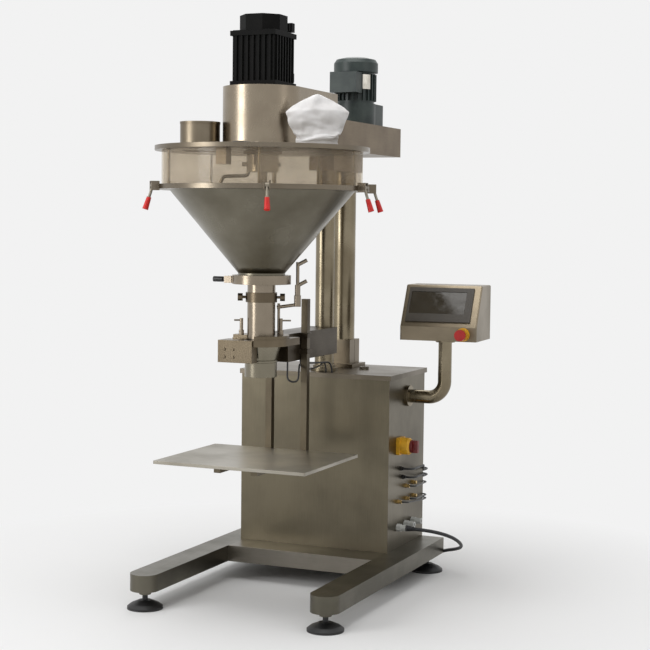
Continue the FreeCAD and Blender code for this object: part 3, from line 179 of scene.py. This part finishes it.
def bend_boot():
    """The boot is a tapered, ribbed sleeve that keeps the lead from kinking at its gland."""
    profile = [(0, 5.2), (0, 9.8)]
    for rib in range(BOOT_RIBS):
        along = 3 + (BOOT_LONG - 4) * rib / BOOT_RIBS
        rad = 9.6 - 2.9 * rib / BOOT_RIBS
        profile += [(along, rad), (along + 0.7, rad - 0.9), (along + 2.2, rad - 1.0), (along + 2.9, rad - 0.3)]
    profile += [(BOOT_LONG, 6.8), (BOOT_LONG, 5.2)]
    made = bpy.data.objects.new("mains_boot", bpy.data.meshes.new("mains_boot"))
    shape = bmesh.new()
    sides = 32
    rings = [[shape.verts.new((MID_X + (BOOT_START + along) / 1000,
                               FACE_Y + (MAINS_ROUTE[0][1] + rad * math.cos(2 * math.pi * n / sides)) / 1000,
                               (MAINS_ROUTE[0][2] + rad * math.sin(2 * math.pi * n / sides)) / 1000))
              for n in range(sides)] for along, rad in profile]
    for start, stop in zip(rings, rings[1:] + rings[:1]):
        for n in range(sides):
            shape.faces.new((start[n], start[n - 1], stop[n - 1], stop[n]))
    bmesh.ops.recalc_face_normals(shape, faces=shape.faces)
    shape.to_mesh(made.data)
    shape.free()
    made.data.materials.append(sheath)
    bpy.context.scene.collection.objects.link(made)
    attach(made, "machine")
    return made


boot = bend_boot()
dress(sheath, "mains_plug", "side_leads")

cell_lead = lead("weighing_cell_lead", [
    (18, -240, 713), (18, -240, 684), (17.5, -240, 648), (53.5, -240, 646), (54, -236, 686),
    (38, -198, 700), (39, -120, 694), (46, -46, 690), (56, 6, 688), (56, 8, 654)], 5.2)
lead("weighing_supply_lead", [
    (22, -158, 713), (22, -158, 680), (28, -112, 672), (33, -40, 676), (36, 4, 694), (36, 8, 654)], 4.4)
lead("level_sensor_lead", [
    (-48, -517, 1338.5), (-30, -515, 1343), (-6, -508, 1345), (16, -501, 1341.5), (34, -499, 1338.5)], 4.8)
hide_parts("head_leads")


# ---------------------------------------------------------------- stage and light
# A pale studio floor and backdrop of one tone, and soft boxes above, on both sides and behind.
PALE = "#f2f2f2"


def seen_directly(tree):
    """One where the eye, a reflection or a clear wall looks at the studio, and nought where it only lights."""
    rays = add(tree, "ShaderNodeLightPath").outputs
    glossy = add(tree, "ShaderNodeMath", {0: rays["Is Camera Ray"], 1: rays["Is Glossy Ray"]}, operation="MAXIMUM")
    return add(tree, "ShaderNodeMath", {0: glossy.outputs[0], 1: rays["Is Transmission Ray"]},
               operation="MAXIMUM").outputs[0]


def studio_floor():
    """A matt floor that keeps the shadow under the machine and fades into the backdrop."""
    half = 14
    made = bpy.data.objects.new("floor", bpy.data.meshes.new("floor"))
    corners = [(-half, -half, 0), (half, -half, 0), (half, half, 0), (-half, half, 0)]
    made.data.from_pydata(corners, [], [(0, 1, 2, 3)])
    bpy.context.scene.collection.objects.link(made)
    material, tree, shader, place = begin("studio_floor")
    shader.inputs["Base Color"].default_value = linear("#e6e6e6")
    shader.inputs["Roughness"].default_value = 0.9
    shader.inputs["Specular IOR Level"].default_value = 0.1
    far = add(tree, "ShaderNodeVectorMath", {0: place}, operation="LENGTH")
    fade = add(tree, "ShaderNodeMapRange", {"Value": far.outputs["Value"], "From Min": 0.55, "From Max": 1.5})
    plain = add(tree, "ShaderNodeEmission", {"Color": linear(PALE), "Strength": 1.0})
    share = add(tree, "ShaderNodeMath", {0: fade.outputs["Result"], 1: seen_directly(tree)}, operation="MULTIPLY")
    mixed = add(tree, "ShaderNodeMixShader", {0: share.outputs[0], 1: shader.outputs[0], 2: plain.outputs[0]})
    tree.links.new(mixed.outputs[0], tree.nodes["Material Output"].inputs["Surface"])
    made.data.materials.append(material)


def studio_world():
    """Pale walls all round, whose light falls softly from above."""
    world = bpy.data.worlds.new("studio")
    bpy.context.scene.world = world
    world.use_nodes = True
    tree = world.node_tree
    tree.nodes.clear()
    way = add(tree, "ShaderNodeTexCoord").outputs["Generated"]
    height = add(tree, "ShaderNodeSeparateXYZ", {0: way}).outputs["Z"]
    up = add(tree, "ShaderNodeMapRange", {"Value": height, "From Min": -0.2, "From Max": 1.0})
    room = add(tree, "ShaderNodeMix", {"Factor": up.outputs["Result"], "A": linear("#8d8982"),
                                       "B": linear("#ffffff")}, data_type="RGBA")
    soft = add(tree, "ShaderNodeBackground", {"Color": room.outputs["Result"], "Strength": 0.75})
    plain = add(tree, "ShaderNodeBackground", {"Color": linear(PALE), "Strength": 1.0})
    mixed = add(tree, "ShaderNodeMixShader", {0: seen_directly(tree), 1: soft.outputs[0], 2: plain.outputs[0]})
    end = add(tree, "ShaderNodeOutputWorld")
    tree.links.new(mixed.outputs[0], end.inputs["Surface"])


def soft_box(name, place, aim, wide, high, power):
    data = bpy.data.lights.new(name, "AREA")
    data.shape, data.size, data.size_y, data.energy = "RECTANGLE", wide, high, power
    made = bpy.data.objects.new(name, data)
    made.location = place
    made.rotation_euler = (Vector(aim) - Vector(place)).to_track_quat("-Z", "Y").to_euler()
    bpy.context.scene.collection.objects.link(made)


studio_floor()
studio_world()
soft_box("overhead_box", (-0.2, -0.6, 3.6), (0, 0, 0.8), 2.6, 2.6, 50)
soft_box("left_box", (-2.4, -3.2, 1.8), (0, 0, 0.9), 1.3, 2.6, 62)
soft_box("right_box", (3.2, -0.4, 2.6), (0, 0, 0.9), 0.8, 1.6, 8)
soft_box("back_box", (-0.8, 2.6, 3.4), (0, 0, 1.0), 2.0, 1.4, 16)
bpy.context.scene.view_settings.view_transform = "Standard"


# ---------------------------------------------------------------- base frame
# Two rails of flat stainless tube and the cross beams welded between them, ground to an even grain
# along their length and passivated, which leaves the steel a little dull. The warm tone of this and
# the other steel colours is a painted reflection of a warm room, not a tint of the steel itself.
# The light and dark colours given to ground_steel are warm: a painted reflection of a warm room, put into the
# steel's base colour.
def ground_steel(name, light, dark, rough, grain, cloud=200, scratch=0.16, relief=0.00004):
    """Stainless steel whose fine scratches run along one axis, with slow changes of tone between passes
    of the belt. The scratches are drawn 1.5 mm wide and 60 mm long, as real ones of 0.1 mm don't show."""
    material, tree, shader, place = begin(name)
    stretch = [1000 / 1.5 if axis != grain else 1000 / 60 for axis in "xyz"]
    lines = add(tree, "ShaderNodeTexNoise", {
        "Vector": add(tree, "ShaderNodeMapping", {"Vector": place, "Scale": stretch}).outputs["Vector"],
        "Scale": 1.0, "Detail": 3.0, "Roughness": 0.6})
    clouds = add(tree, "ShaderNodeTexNoise", {"Vector": place, "Scale": 1000 / cloud, "Detail": 4.0,
                                              "Roughness": 0.55})
    tone = add(tree, "ShaderNodeMapRange", {"Value": clouds.outputs["Fac"], "From Min": 0.35, "From Max": 0.65})
    line = add(tree, "ShaderNodeMapRange", {"Value": lines.outputs["Fac"], "From Min": 0.3, "From Max": 0.7,
                                            "To Min": -scratch, "To Max": scratch})
    share = add(tree, "ShaderNodeMath", {0: tone.outputs["Result"], 1: line.outputs["Result"]}, operation="ADD")
    colour = add(tree, "ShaderNodeMix", {"Factor": share.outputs[0], "A": linear(light), "B": linear(dark)},
                 data_type="RGBA")
    tree.links.new(colour.outputs["Result"], shader.inputs["Base Color"])
    shader.inputs["Metallic"].default_value = 1.0
    dull = add(tree, "ShaderNodeMapRange", {"Value": share.outputs[0], "To Min": rough - 0.05,
                                            "To Max": rough + 0.07})
    tree.links.new(dull.outputs["Result"], shader.inputs["Roughness"])
    edge = add(tree, "ShaderNodeBevel", {"Radius": 0.0012}, samples=4)
    bump = add(tree, "ShaderNodeBump", {"Height": lines.outputs["Fac"], "Strength": 0.5, "Distance": relief,
                                        "Normal": edge.outputs["Normal"]})
    tree.links.new(bump.outputs["Normal"], shader.inputs["Normal"])
    return material


dress(ground_steel("ground_rail", "#6f6b60", "#5d5a50", 0.34, "y"), "rail_left", "rail_right")
# The beams are the rails' steel in lighter colours: a painted highlight for the light that falls on their tops.
dress(ground_steel("ground_beam", "#858077", "#716c63", 0.36, "x"), "cross_beams")

# ---------------------------------------------------------------- levelling feet
# Cupped pads of black glass-filled nylon on stems that screw into the rails.
dress(moulded("foot_nylon", "#131313", "#1f1f20", 0.45), "foot_front_left", "foot_front_right",
      "foot_back_left", "foot_back_right")

# ---------------------------------------------------------------- cabinet
# Folded 2.5 mm stainless sheet, ground upright and darker than the base, with a shallow lid like a
# tray turned over and a plain door at the back. The gear inside stands on a bare plate.
dress(ground_steel("cabinet_sheet", "#6d6656", "#5a5447", 0.33, "z", cloud=260), "cabinet_shell", "rear_door")
dress(ground_steel("lid_sheet", "#756d61", "#635c50", 0.36, "x"), "cabinet_lid")
dress(ground_steel("bare_plate", "#8d8f8e", "#7b7d7c", 0.45, "z"), "control_gear")

# ---------------------------------------------------------------- main switch and glands
# A rotary isolator: a yellow collar and a dark red knob, both moulded. Below it are nylon glands for
# mains leads, plated brass ones for thin leads and black nylon ones for the pair near the top.
dress(moulded("switch_yellow", "#d9a420", "#c79218", 0.38), "switch_housing")
dress(moulded("switch_red", "#6a130f", "#5a0f0c", 0.4), "switch_knob")


def gland_rows(grey_top, brass_top):
    """Light grey nylon below grey_top, nickel-plated brass up to brass_top, and black nylon above it."""
    material, tree, shader, place = begin("gland_rows")
    height = add(tree, "ShaderNodeSeparateXYZ", {0: place}).outputs["Z"]
    over_grey = add(tree, "ShaderNodeMath", {0: height, 1: grey_top}, operation="GREATER_THAN").outputs[0]
    over_brass = add(tree, "ShaderNodeMath", {0: height, 1: brass_top}, operation="GREATER_THAN").outputs[0]
    metal = add(tree, "ShaderNodeMath", {0: over_grey, 1: over_brass}, operation="SUBTRACT").outputs[0]
    low = add(tree, "ShaderNodeMix", {"Factor": over_grey, "A": linear("#c4c6c3"), "B": linear("#c9ac72")},
              data_type="RGBA")
    tone = add(tree, "ShaderNodeMix", {"Factor": over_brass, "A": low.outputs["Result"],
                                       "B": linear("#1a1a1b")}, data_type="RGBA")
    tree.links.new(tone.outputs["Result"], shader.inputs["Base Color"])
    tree.links.new(metal, shader.inputs["Metallic"])
    knurl = add(tree, "ShaderNodeTexNoise", {"Vector": place, "Scale": 1000 / 1.2, "Detail": 2.0})
    sheen = add(tree, "ShaderNodeMapRange", {"Value": knurl.outputs["Fac"], "To Min": 0.26, "To Max": 0.46})
    tree.links.new(sheen.outputs["Result"], shader.inputs["Roughness"])
    edge = add(tree, "ShaderNodeBevel", {"Radius": 0.0005}, samples=4)
    tree.links.new(edge.outputs["Normal"], shader.inputs["Normal"])
    return material


dress(gland_rows(0.205, 0.309), "cable_glands")

# ---------------------------------------------------------------- operator panel
# A folded stainless box on a bent pipe, which turns on a collar. Its face holds a small touch screen
# in a moulded bezel, and an emergency stop with a yellow collar sits at its foot.
dress(ground_steel("panel_sheet", "#857a68", "#716858", 0.34, "x"), "panel_box")
dress(moulded("bezel_abs", "#37322a", "#403a31", 0.42), "screen_frame")
dress(moulded("stop_yellow", "#d8a31f", "#c48f17", 0.4), "stop_collar")
dress(moulded("stop_red", "#b3140f", "#9c110d", 0.35), "stop_button")


def dark_screen():
    """A glass touch screen that is off: near black, glossy, with faint finger marks."""
    material, tree, shader, place = begin("dark_screen")
    shader.inputs["Base Color"].default_value = linear("#3d382f")
    shader.inputs["IOR"].default_value = 1.52
    marks = add(tree, "ShaderNodeTexNoise", {"Vector": place, "Scale": 1000 / 22, "Detail": 5.0, "Roughness": 0.65})
    sheen = add(tree, "ShaderNodeMapRange", {"Value": marks.outputs["Fac"], "From Min": 0.42, "From Max": 0.7,
                                             "To Min": 0.07, "To Max": 0.24})
    tree.links.new(sheen.outputs["Result"], shader.inputs["Roughness"])
    return material


dress(dark_screen(), "screen_glass")

# ---------------------------------------------------------------- columns
# Round stainless tube, linished and buffed to a satin: soft upright bands rather than a mirror.
# The rear column stands through a square clamp block; the front one carries the case.
satin_tube = ground_steel("satin_tube", "#8a806c", "#756b58", 0.27, "z", cloud=140, scratch=0.1, relief=0.00002)
dress(satin_tube, "panel_pipe", "rear_column", "front_column")
dress(ground_steel("ground_block", "#796f5f", "#685e4e", 0.32, "z"), "column_block")

# ---------------------------------------------------------------- drive case
# A long folded case for the stirrer's chain, with a flat cover, carried on both columns.
# The roller chain and its small sprocket are oiled steel.
dress(ground_steel("case_sheet", "#75664f", "#645645", 0.34, "y"), "drive_case")
dress(moulded("oiled_steel", "#2c2b29", "#3a3835", 0.34, grit=3), "drive_chain", "drive_sprocket")

# ---------------------------------------------------------------- drive housing and motors
# The housing is a rolled stainless cover, open behind. A black anodised servo motor stands on it, and
# behind it an enamelled gear motor with a ribbed barrel drives the stirrer.
dress(ground_steel("housing_sheet", "#978c7b", "#84796a", 0.27, "z", cloud=160, scratch=0.1), "drive_housing")


def enamel(name, colour, worn, rough, gloss=0.5):
    """Sprayed two-part enamel on a casting: a slight orange peel 4 mm across, paler where it is rubbed."""
    material, tree, shader, place = begin(name)
    dust = add(tree, "ShaderNodeTexNoise", {"Vector": place, "Scale": 1000 / 45, "Detail": 5.0, "Roughness": 0.6})
    share = add(tree, "ShaderNodeMapRange", {"Value": dust.outputs["Fac"], "From Min": 0.42, "From Max": 0.66})
    tone = add(tree, "ShaderNodeMix", {"Factor": share.outputs["Result"], "A": linear(colour),
                                       "B": linear(worn)}, data_type="RGBA")
    tree.links.new(tone.outputs["Result"], shader.inputs["Base Color"])
    shader.inputs["Roughness"].default_value = rough
    shader.inputs["Specular IOR Level"].default_value = gloss
    peel = add(tree, "ShaderNodeTexNoise", {"Vector": place, "Scale": 1000 / 4, "Detail": 1.0})
    edge = add(tree, "ShaderNodeBevel", {"Radius": 0.0009}, samples=4)
    bump = add(tree, "ShaderNodeBump", {"Height": peel.outputs["Fac"], "Strength": 0.4, "Distance": 0.00012,
                                        "Normal": edge.outputs["Normal"]})
    tree.links.new(bump.outputs["Normal"], shader.inputs["Normal"])
    return material


dress(enamel("servo_black", "#060605", "#0d0c0b", 0.6, gloss=0.1), "servo_motor")
dress(enamel("gear_motor_enamel", "#2b3433", "#39423f", 0.4, gloss=0.35), "gear_motor")

PLATE_AXIS = Vector((MID_X, FACE_Y + 0.310, 0))  # the gear motor's barrel
PLATE_LOW, PLATE_HIGH, PLATE_RAD, PLATE_THICK = 1.553, 1.600, 0.0683, 0.0008
PLATE_FROM, PLATE_TO, PLATE_STEPS = math.radians(-49), math.radians(-25), 12


def rating_plate():
    """The motor's rating plate: thin aluminium, left blank, bent to the ribs and held by its corners."""
    made = bpy.data.objects.new("rating_plate", bpy.data.meshes.new("rating_plate"))
    shape = bmesh.new()
    sections = []
    for step in range(PLATE_STEPS + 1):
        angle = PLATE_FROM + (PLATE_TO - PLATE_FROM) * step / PLATE_STEPS
        out = Vector((math.cos(angle), math.sin(angle), 0))
        sections.append([shape.verts.new(PLATE_AXIS + out * rad + Vector((0, 0, height)))
                         for rad, height in ((PLATE_RAD, PLATE_LOW), (PLATE_RAD + PLATE_THICK, PLATE_LOW),
                                             (PLATE_RAD + PLATE_THICK, PLATE_HIGH), (PLATE_RAD, PLATE_HIGH))])
    for start, stop in zip(sections, sections[1:]):
        for n in range(4):
            shape.faces.new((start[n], start[n - 1], stop[n - 1], stop[n]))
    shape.faces.new(sections[0])
    shape.faces.new(reversed(sections[-1]))
    bmesh.ops.recalc_face_normals(shape, faces=shape.faces)
    shape.to_mesh(made.data)
    shape.free()
    made.data.materials.append(ground_steel("plate_aluminium", "#cfcac0", "#bdb8ad", 0.4, "z", cloud=30))
    bpy.context.scene.collection.objects.link(made)
    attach(made, "machine")


rating_plate()

# ---------------------------------------------------------------- hopper
# A turned lid and ring of stainless plate, a rolled cone below and a clear acrylic window between,
# held together by tie rods. The lid carries a feed inlet, a bearing ring and a level sensor.
dress(ground_steel("lid_plate", "#80776a", "#6e6557", 0.28, "x"), "hopper_lid", "hopper_ring")
dress(ground_steel("cone_sheet", "#7c776a", "#696457", 0.30, "z", cloud=180), "hopper_cone")
dress(satin_tube, "tie_rods")
dress(ground_steel("inlet_tube", "#877d6d", "#746a5a", 0.35, "z", scratch=0.1), "feed_inlet")
dress(ground_steel("sensor_nut", "#8b8172", "#786e60", 0.3, "z"), "bearing_hub", "level_sensor")


def clear_acrylic():
    """Cast acrylic tube, faintly warm, hazed inside by the powder that clings to it."""
    material, tree, shader, place = begin("clear_acrylic")
    haze = add(tree, "ShaderNodeTexNoise", {"Vector": place, "Scale": 1000 / 90, "Detail": 5.0, "Roughness": 0.6})
    shader.inputs["Base Color"].default_value = linear("#b5a896")
    shader.inputs["IOR"].default_value = 1.49
    shader.inputs["Roughness"].default_value = 0.16
    clear = add(tree, "ShaderNodeBsdfTransparent", {"Color": linear("#f9f5ee")})
    cloudy = add(tree, "ShaderNodeMapRange", {"Value": haze.outputs["Fac"], "From Min": 0.35, "From Max": 0.7,
                                              "To Min": 0.16, "To Max": 0.3})
    mixed = add(tree, "ShaderNodeMixShader", {0: cloudy.outputs["Result"], 1: clear.outputs[0],
                                              2: shader.outputs[0]})
    tree.links.new(mixed.outputs[0], tree.nodes["Material Output"].inputs["Surface"])
    return material


dress(clear_acrylic(), "hopper_window")


# ---------------------------------------------------------------- clamp levers
# Over-centre levers in steel, whose lower half is dipped in soft red vinyl.
def dipped_lever(dip_top):
    """Red vinyl up to the line that the dip reached, and plated steel above it."""
    material, tree, shader, place = begin("dipped_lever")
    height = add(tree, "ShaderNodeSeparateXYZ", {0: place}).outputs["Z"]
    bare = add(tree, "ShaderNodeMath", {0: height, 1: dip_top}, operation="GREATER_THAN").outputs[0]
    creases = add(tree, "ShaderNodeTexNoise", {"Vector": place, "Scale": 1000 / 9, "Detail": 3.0})
    dip = add(tree, "ShaderNodeMix", {"Factor": creases.outputs["Fac"], "A": linear("#d41a12"),
                                      "B": linear("#b5140e")}, data_type="RGBA")
    tone = add(tree, "ShaderNodeMix", {"Factor": bare, "A": dip.outputs["Result"], "B": linear("#8a8376")},
               data_type="RGBA")
    tree.links.new(tone.outputs["Result"], shader.inputs["Base Color"])
    tree.links.new(bare, shader.inputs["Metallic"])
    sheen = add(tree, "ShaderNodeMapRange", {"Value": creases.outputs["Fac"], "To Min": 0.28, "To Max": 0.5})
    tree.links.new(sheen.outputs["Result"], shader.inputs["Roughness"])
    edge = add(tree, "ShaderNodeBevel", {"Radius": 0.0006}, samples=4)
    tree.links.new(edge.outputs["Normal"], shader.inputs["Normal"])
    return material


dress(dipped_lever(1.187), "clamp_lever_1", "clamp_lever_2", "clamp_lever_3", "clamp_lever_4", "clamp_lever_5")

# ---------------------------------------------------------------- filter sleeve
# A sewn sleeve of white filter cloth, tied over the vent stub in the lid. It lets air out and keeps
# powder in, and stands up only by its own stiffness, so it is creased and leans.
SLEEVE_WIDE = [  # height above the lid and half width, in millimetres
    (0, 62), (10, 58), (24, 64), (64, 78), (101, 89), (116, 72), (134, 40), (150, 5)]
SLEEVE_TURN = math.radians(23.4)
SLEEVE_ROUND, SLEEVE_ROWS = 72, 40
SLEEVE_THICK, SLEEVE_TIED = 21, 12


def sleeve_mesh():
    """The sleeve as it is sewn: two flat shapes joined round their edge, opened a little by the stub."""
    low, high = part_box("filter_bag")
    middle = (Vector(low) + Vector(high)) / 2
    made = bpy.data.objects.new("filter_sleeve", bpy.data.meshes.new("filter_sleeve"))
    shape = bmesh.new()
    rows = []
    for row in range(SLEEVE_ROWS + 1):
        up = SLEEVE_WIDE[-1][0] * row / SLEEVE_ROWS
        start, stop = next((a, b) for a, b in zip(SLEEVE_WIDE, SLEEVE_WIDE[1:]) if up <= b[0])
        half = start[1] + (stop[1] - start[1]) * (up - start[0]) / (stop[0] - start[0])
        deep = SLEEVE_THICK * min(1, 0.25 + (SLEEVE_WIDE[-1][0] - up) / 60)
        ring = []
        for n in range(SLEEVE_ROUND):
            angle = 2 * math.pi * n / SLEEVE_ROUND
            spot = Vector((half * math.cos(angle), deep * math.sin(angle) * abs(math.sin(angle)) ** 0.2, up))
            crease = noise.noise(spot * 0.022) * 6 + noise.noise(spot * 0.05 + Vector((7, 3, 1))) * 2
            spot.y += crease * min(1, up / 30)
            spot.x += 0.35 * crease * min(1, up / 30)
            across = Matrix.Rotation(SLEEVE_TURN, 3, "Z") @ Vector((spot.x, spot.y, 0))
            ring.append(shape.verts.new((middle.x + across.x / 1000, middle.y + across.y / 1000,
                                         low[2] + 0.0004 + spot.z / 1000)))
        rows.append(ring)
    for lower, upper in zip(rows, rows[1:]):
        for n in range(SLEEVE_ROUND):
            m = (n + 1) % SLEEVE_ROUND
            shape.faces.new((lower[n], lower[m], upper[m], upper[n]))
    shape.faces.new(reversed(rows[0]))
    shape.faces.new(rows[-1])
    bmesh.ops.recalc_face_normals(shape, faces=shape.faces)
    shape.to_mesh(made.data)
    shape.free()
    bpy.context.scene.collection.objects.link(made)
    return made


def settle(made, frames=22, reach=0.008):
    """Lets the cloth slump under its own weight from the tied mouth up, and keeps each point near its place."""
    tied = made.vertex_groups.new(name="tied")
    foot = min(v.co.z for v in made.data.vertices)
    tied.add([v.index for v in made.data.vertices if v.co.z < foot + SLEEVE_TIED / 1000], 1.0, "REPLACE")
    before = [v.co.copy() for v in made.data.vertices]
    cloth = made.modifiers.new("cloth", "CLOTH")
    cloth.settings.quality = 6
    cloth.settings.mass = 0.12
    cloth.settings.tension_stiffness = cloth.settings.compression_stiffness = 12
    cloth.settings.shear_stiffness = 6
    cloth.settings.bending_stiffness = 1.5
    cloth.settings.vertex_group_mass = "tied"
    cloth.settings.shrink_min = -0.04
    cloth.settings.use_pressure = True
    cloth.settings.uniform_pressure_force = 1.2
    cloth.settings.effector_weights.gravity = 0.12
    cloth.collision_settings.use_collision = False
    cloth.point_cache.frame_start, cloth.point_cache.frame_end = 1, frames
    for moment in range(1, frames + 1):
        bpy.context.scene.frame_set(moment)
    moved = made.evaluated_get(bpy.context.evaluated_depsgraph_get()).to_mesh()
    after = [v.co.copy() for v in moved.vertices]
    made.evaluated_get(bpy.context.evaluated_depsgraph_get()).to_mesh_clear()
    made.modifiers.remove(cloth)
    made.vertex_groups.remove(tied)
    bpy.context.scene.frame_set(1)
    for vert, start, stop in zip(made.data.vertices, before, after):
        shift = stop - start
        vert.co = start + shift * min(1, reach / max(shift.length, 1e-9))


def filter_cloth():
    """Needled polyester: white, matt, a soft nap, with a weave drawn 1.2 mm apart and grey dust in random patches.
    """
    material, tree, shader, place = begin("filter_cloth")
    dust = add(tree, "ShaderNodeTexNoise", {"Vector": place, "Scale": 1000 / 35, "Detail": 5.0, "Roughness": 0.6})
    share = add(tree, "ShaderNodeMapRange", {"Value": dust.outputs["Fac"], "From Min": 0.38, "From Max": 0.68})
    tone = add(tree, "ShaderNodeMix", {"Factor": share.outputs["Result"], "A": linear("#e4e3e3"),
                                       "B": linear("#d9d7d6")}, data_type="RGBA")
    tree.links.new(tone.outputs["Result"], shader.inputs["Base Color"])
    shader.inputs["Roughness"].default_value = 0.92
    shader.inputs["Specular IOR Level"].default_value = 0.25
    shader.inputs["Sheen Weight"].default_value = 0.25
    threads = [add(tree, "ShaderNodeTexWave", {"Vector": place, "Scale": 1000 / 1.2 / 6.28}, bands_direction=way)
               for way in ("X", "Z")]
    weave = add(tree, "ShaderNodeMath", {0: threads[0].outputs["Fac"], 1: threads[1].outputs["Fac"]},
                operation="MAXIMUM")
    bump = add(tree, "ShaderNodeBump", {"Height": weave.outputs[0], "Strength": 0.35, "Distance": 0.0002})
    tree.links.new(bump.outputs["Normal"], shader.inputs["Normal"])
    return material


sleeve = sleeve_mesh()
settle(sleeve)
sleeve.data.polygons.foreach_set("use_smooth", [True] * len(sleeve.data.polygons))
sleeve.data.materials.append(filter_cloth())
smooth = sleeve.modifiers.new("smooth", "SUBSURF")
smooth.levels = smooth.render_levels = 1
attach(sleeve, "machine")
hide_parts("filter_bag")

# ---------------------------------------------------------------- screw and stirrer
# The dosing screw is turned and its flight welded on and polished; the stirrer's rod and bar are bent
# round bar on a sleeve that the chain turns.
dress(ground_steel("polished_screw", "#a39a8b", "#8d8474", 0.2, "z", scratch=0.08), "auger", "agitator")

# ---------------------------------------------------------------- dosing tube and its clamp
# A polished tube hangs from the cone in a clamp ring that one lever pulls tight. A collar lower down
# holds two latches and the air pipe with its taps.
dress(ground_steel("polished_dosing_tube", "#94897a", "#7f7566", 0.24, "z", scratch=0.1), "dosing_tube",
      "clamp_ring", "air_fittings")
dress(ground_steel("collar_block", "#6b6050", "#584e40", 0.34, "z"), "tube_collar")
dress(moulded("handle_black", "#1a1a1a", "#262626", 0.4), "clamp_handle")

# ---------------------------------------------------------------- weighing arm and spout
# A folded arm around the column holds the weighing cell, and its head plate carries the spout that a
# bag's neck is pushed over.
dress(ground_steel("arm_sheet", "#524a3d", "#443c31", 0.36, "y"), "weigh_arm")
dress(ground_steel("head_sheet", "#736857", "#605646", 0.32, "z"), "head_plate")
dress(ground_steel("spun_spout", "#8a8374", "#757061", 0.26, "z", scratch=0.1), "bag_spout")

# ---------------------------------------------------------------- tray
# Square bars hang from the arm and carry a folded tray, which slides up or down for each size of bag.
dress(ground_steel("hanger_bar", "#675f50", "#564e41", 0.33, "z"), "hanger_frame")
dress(ground_steel("tray_sheet", "#a39e93", "#8d887d", 0.38, "x"), "tray")
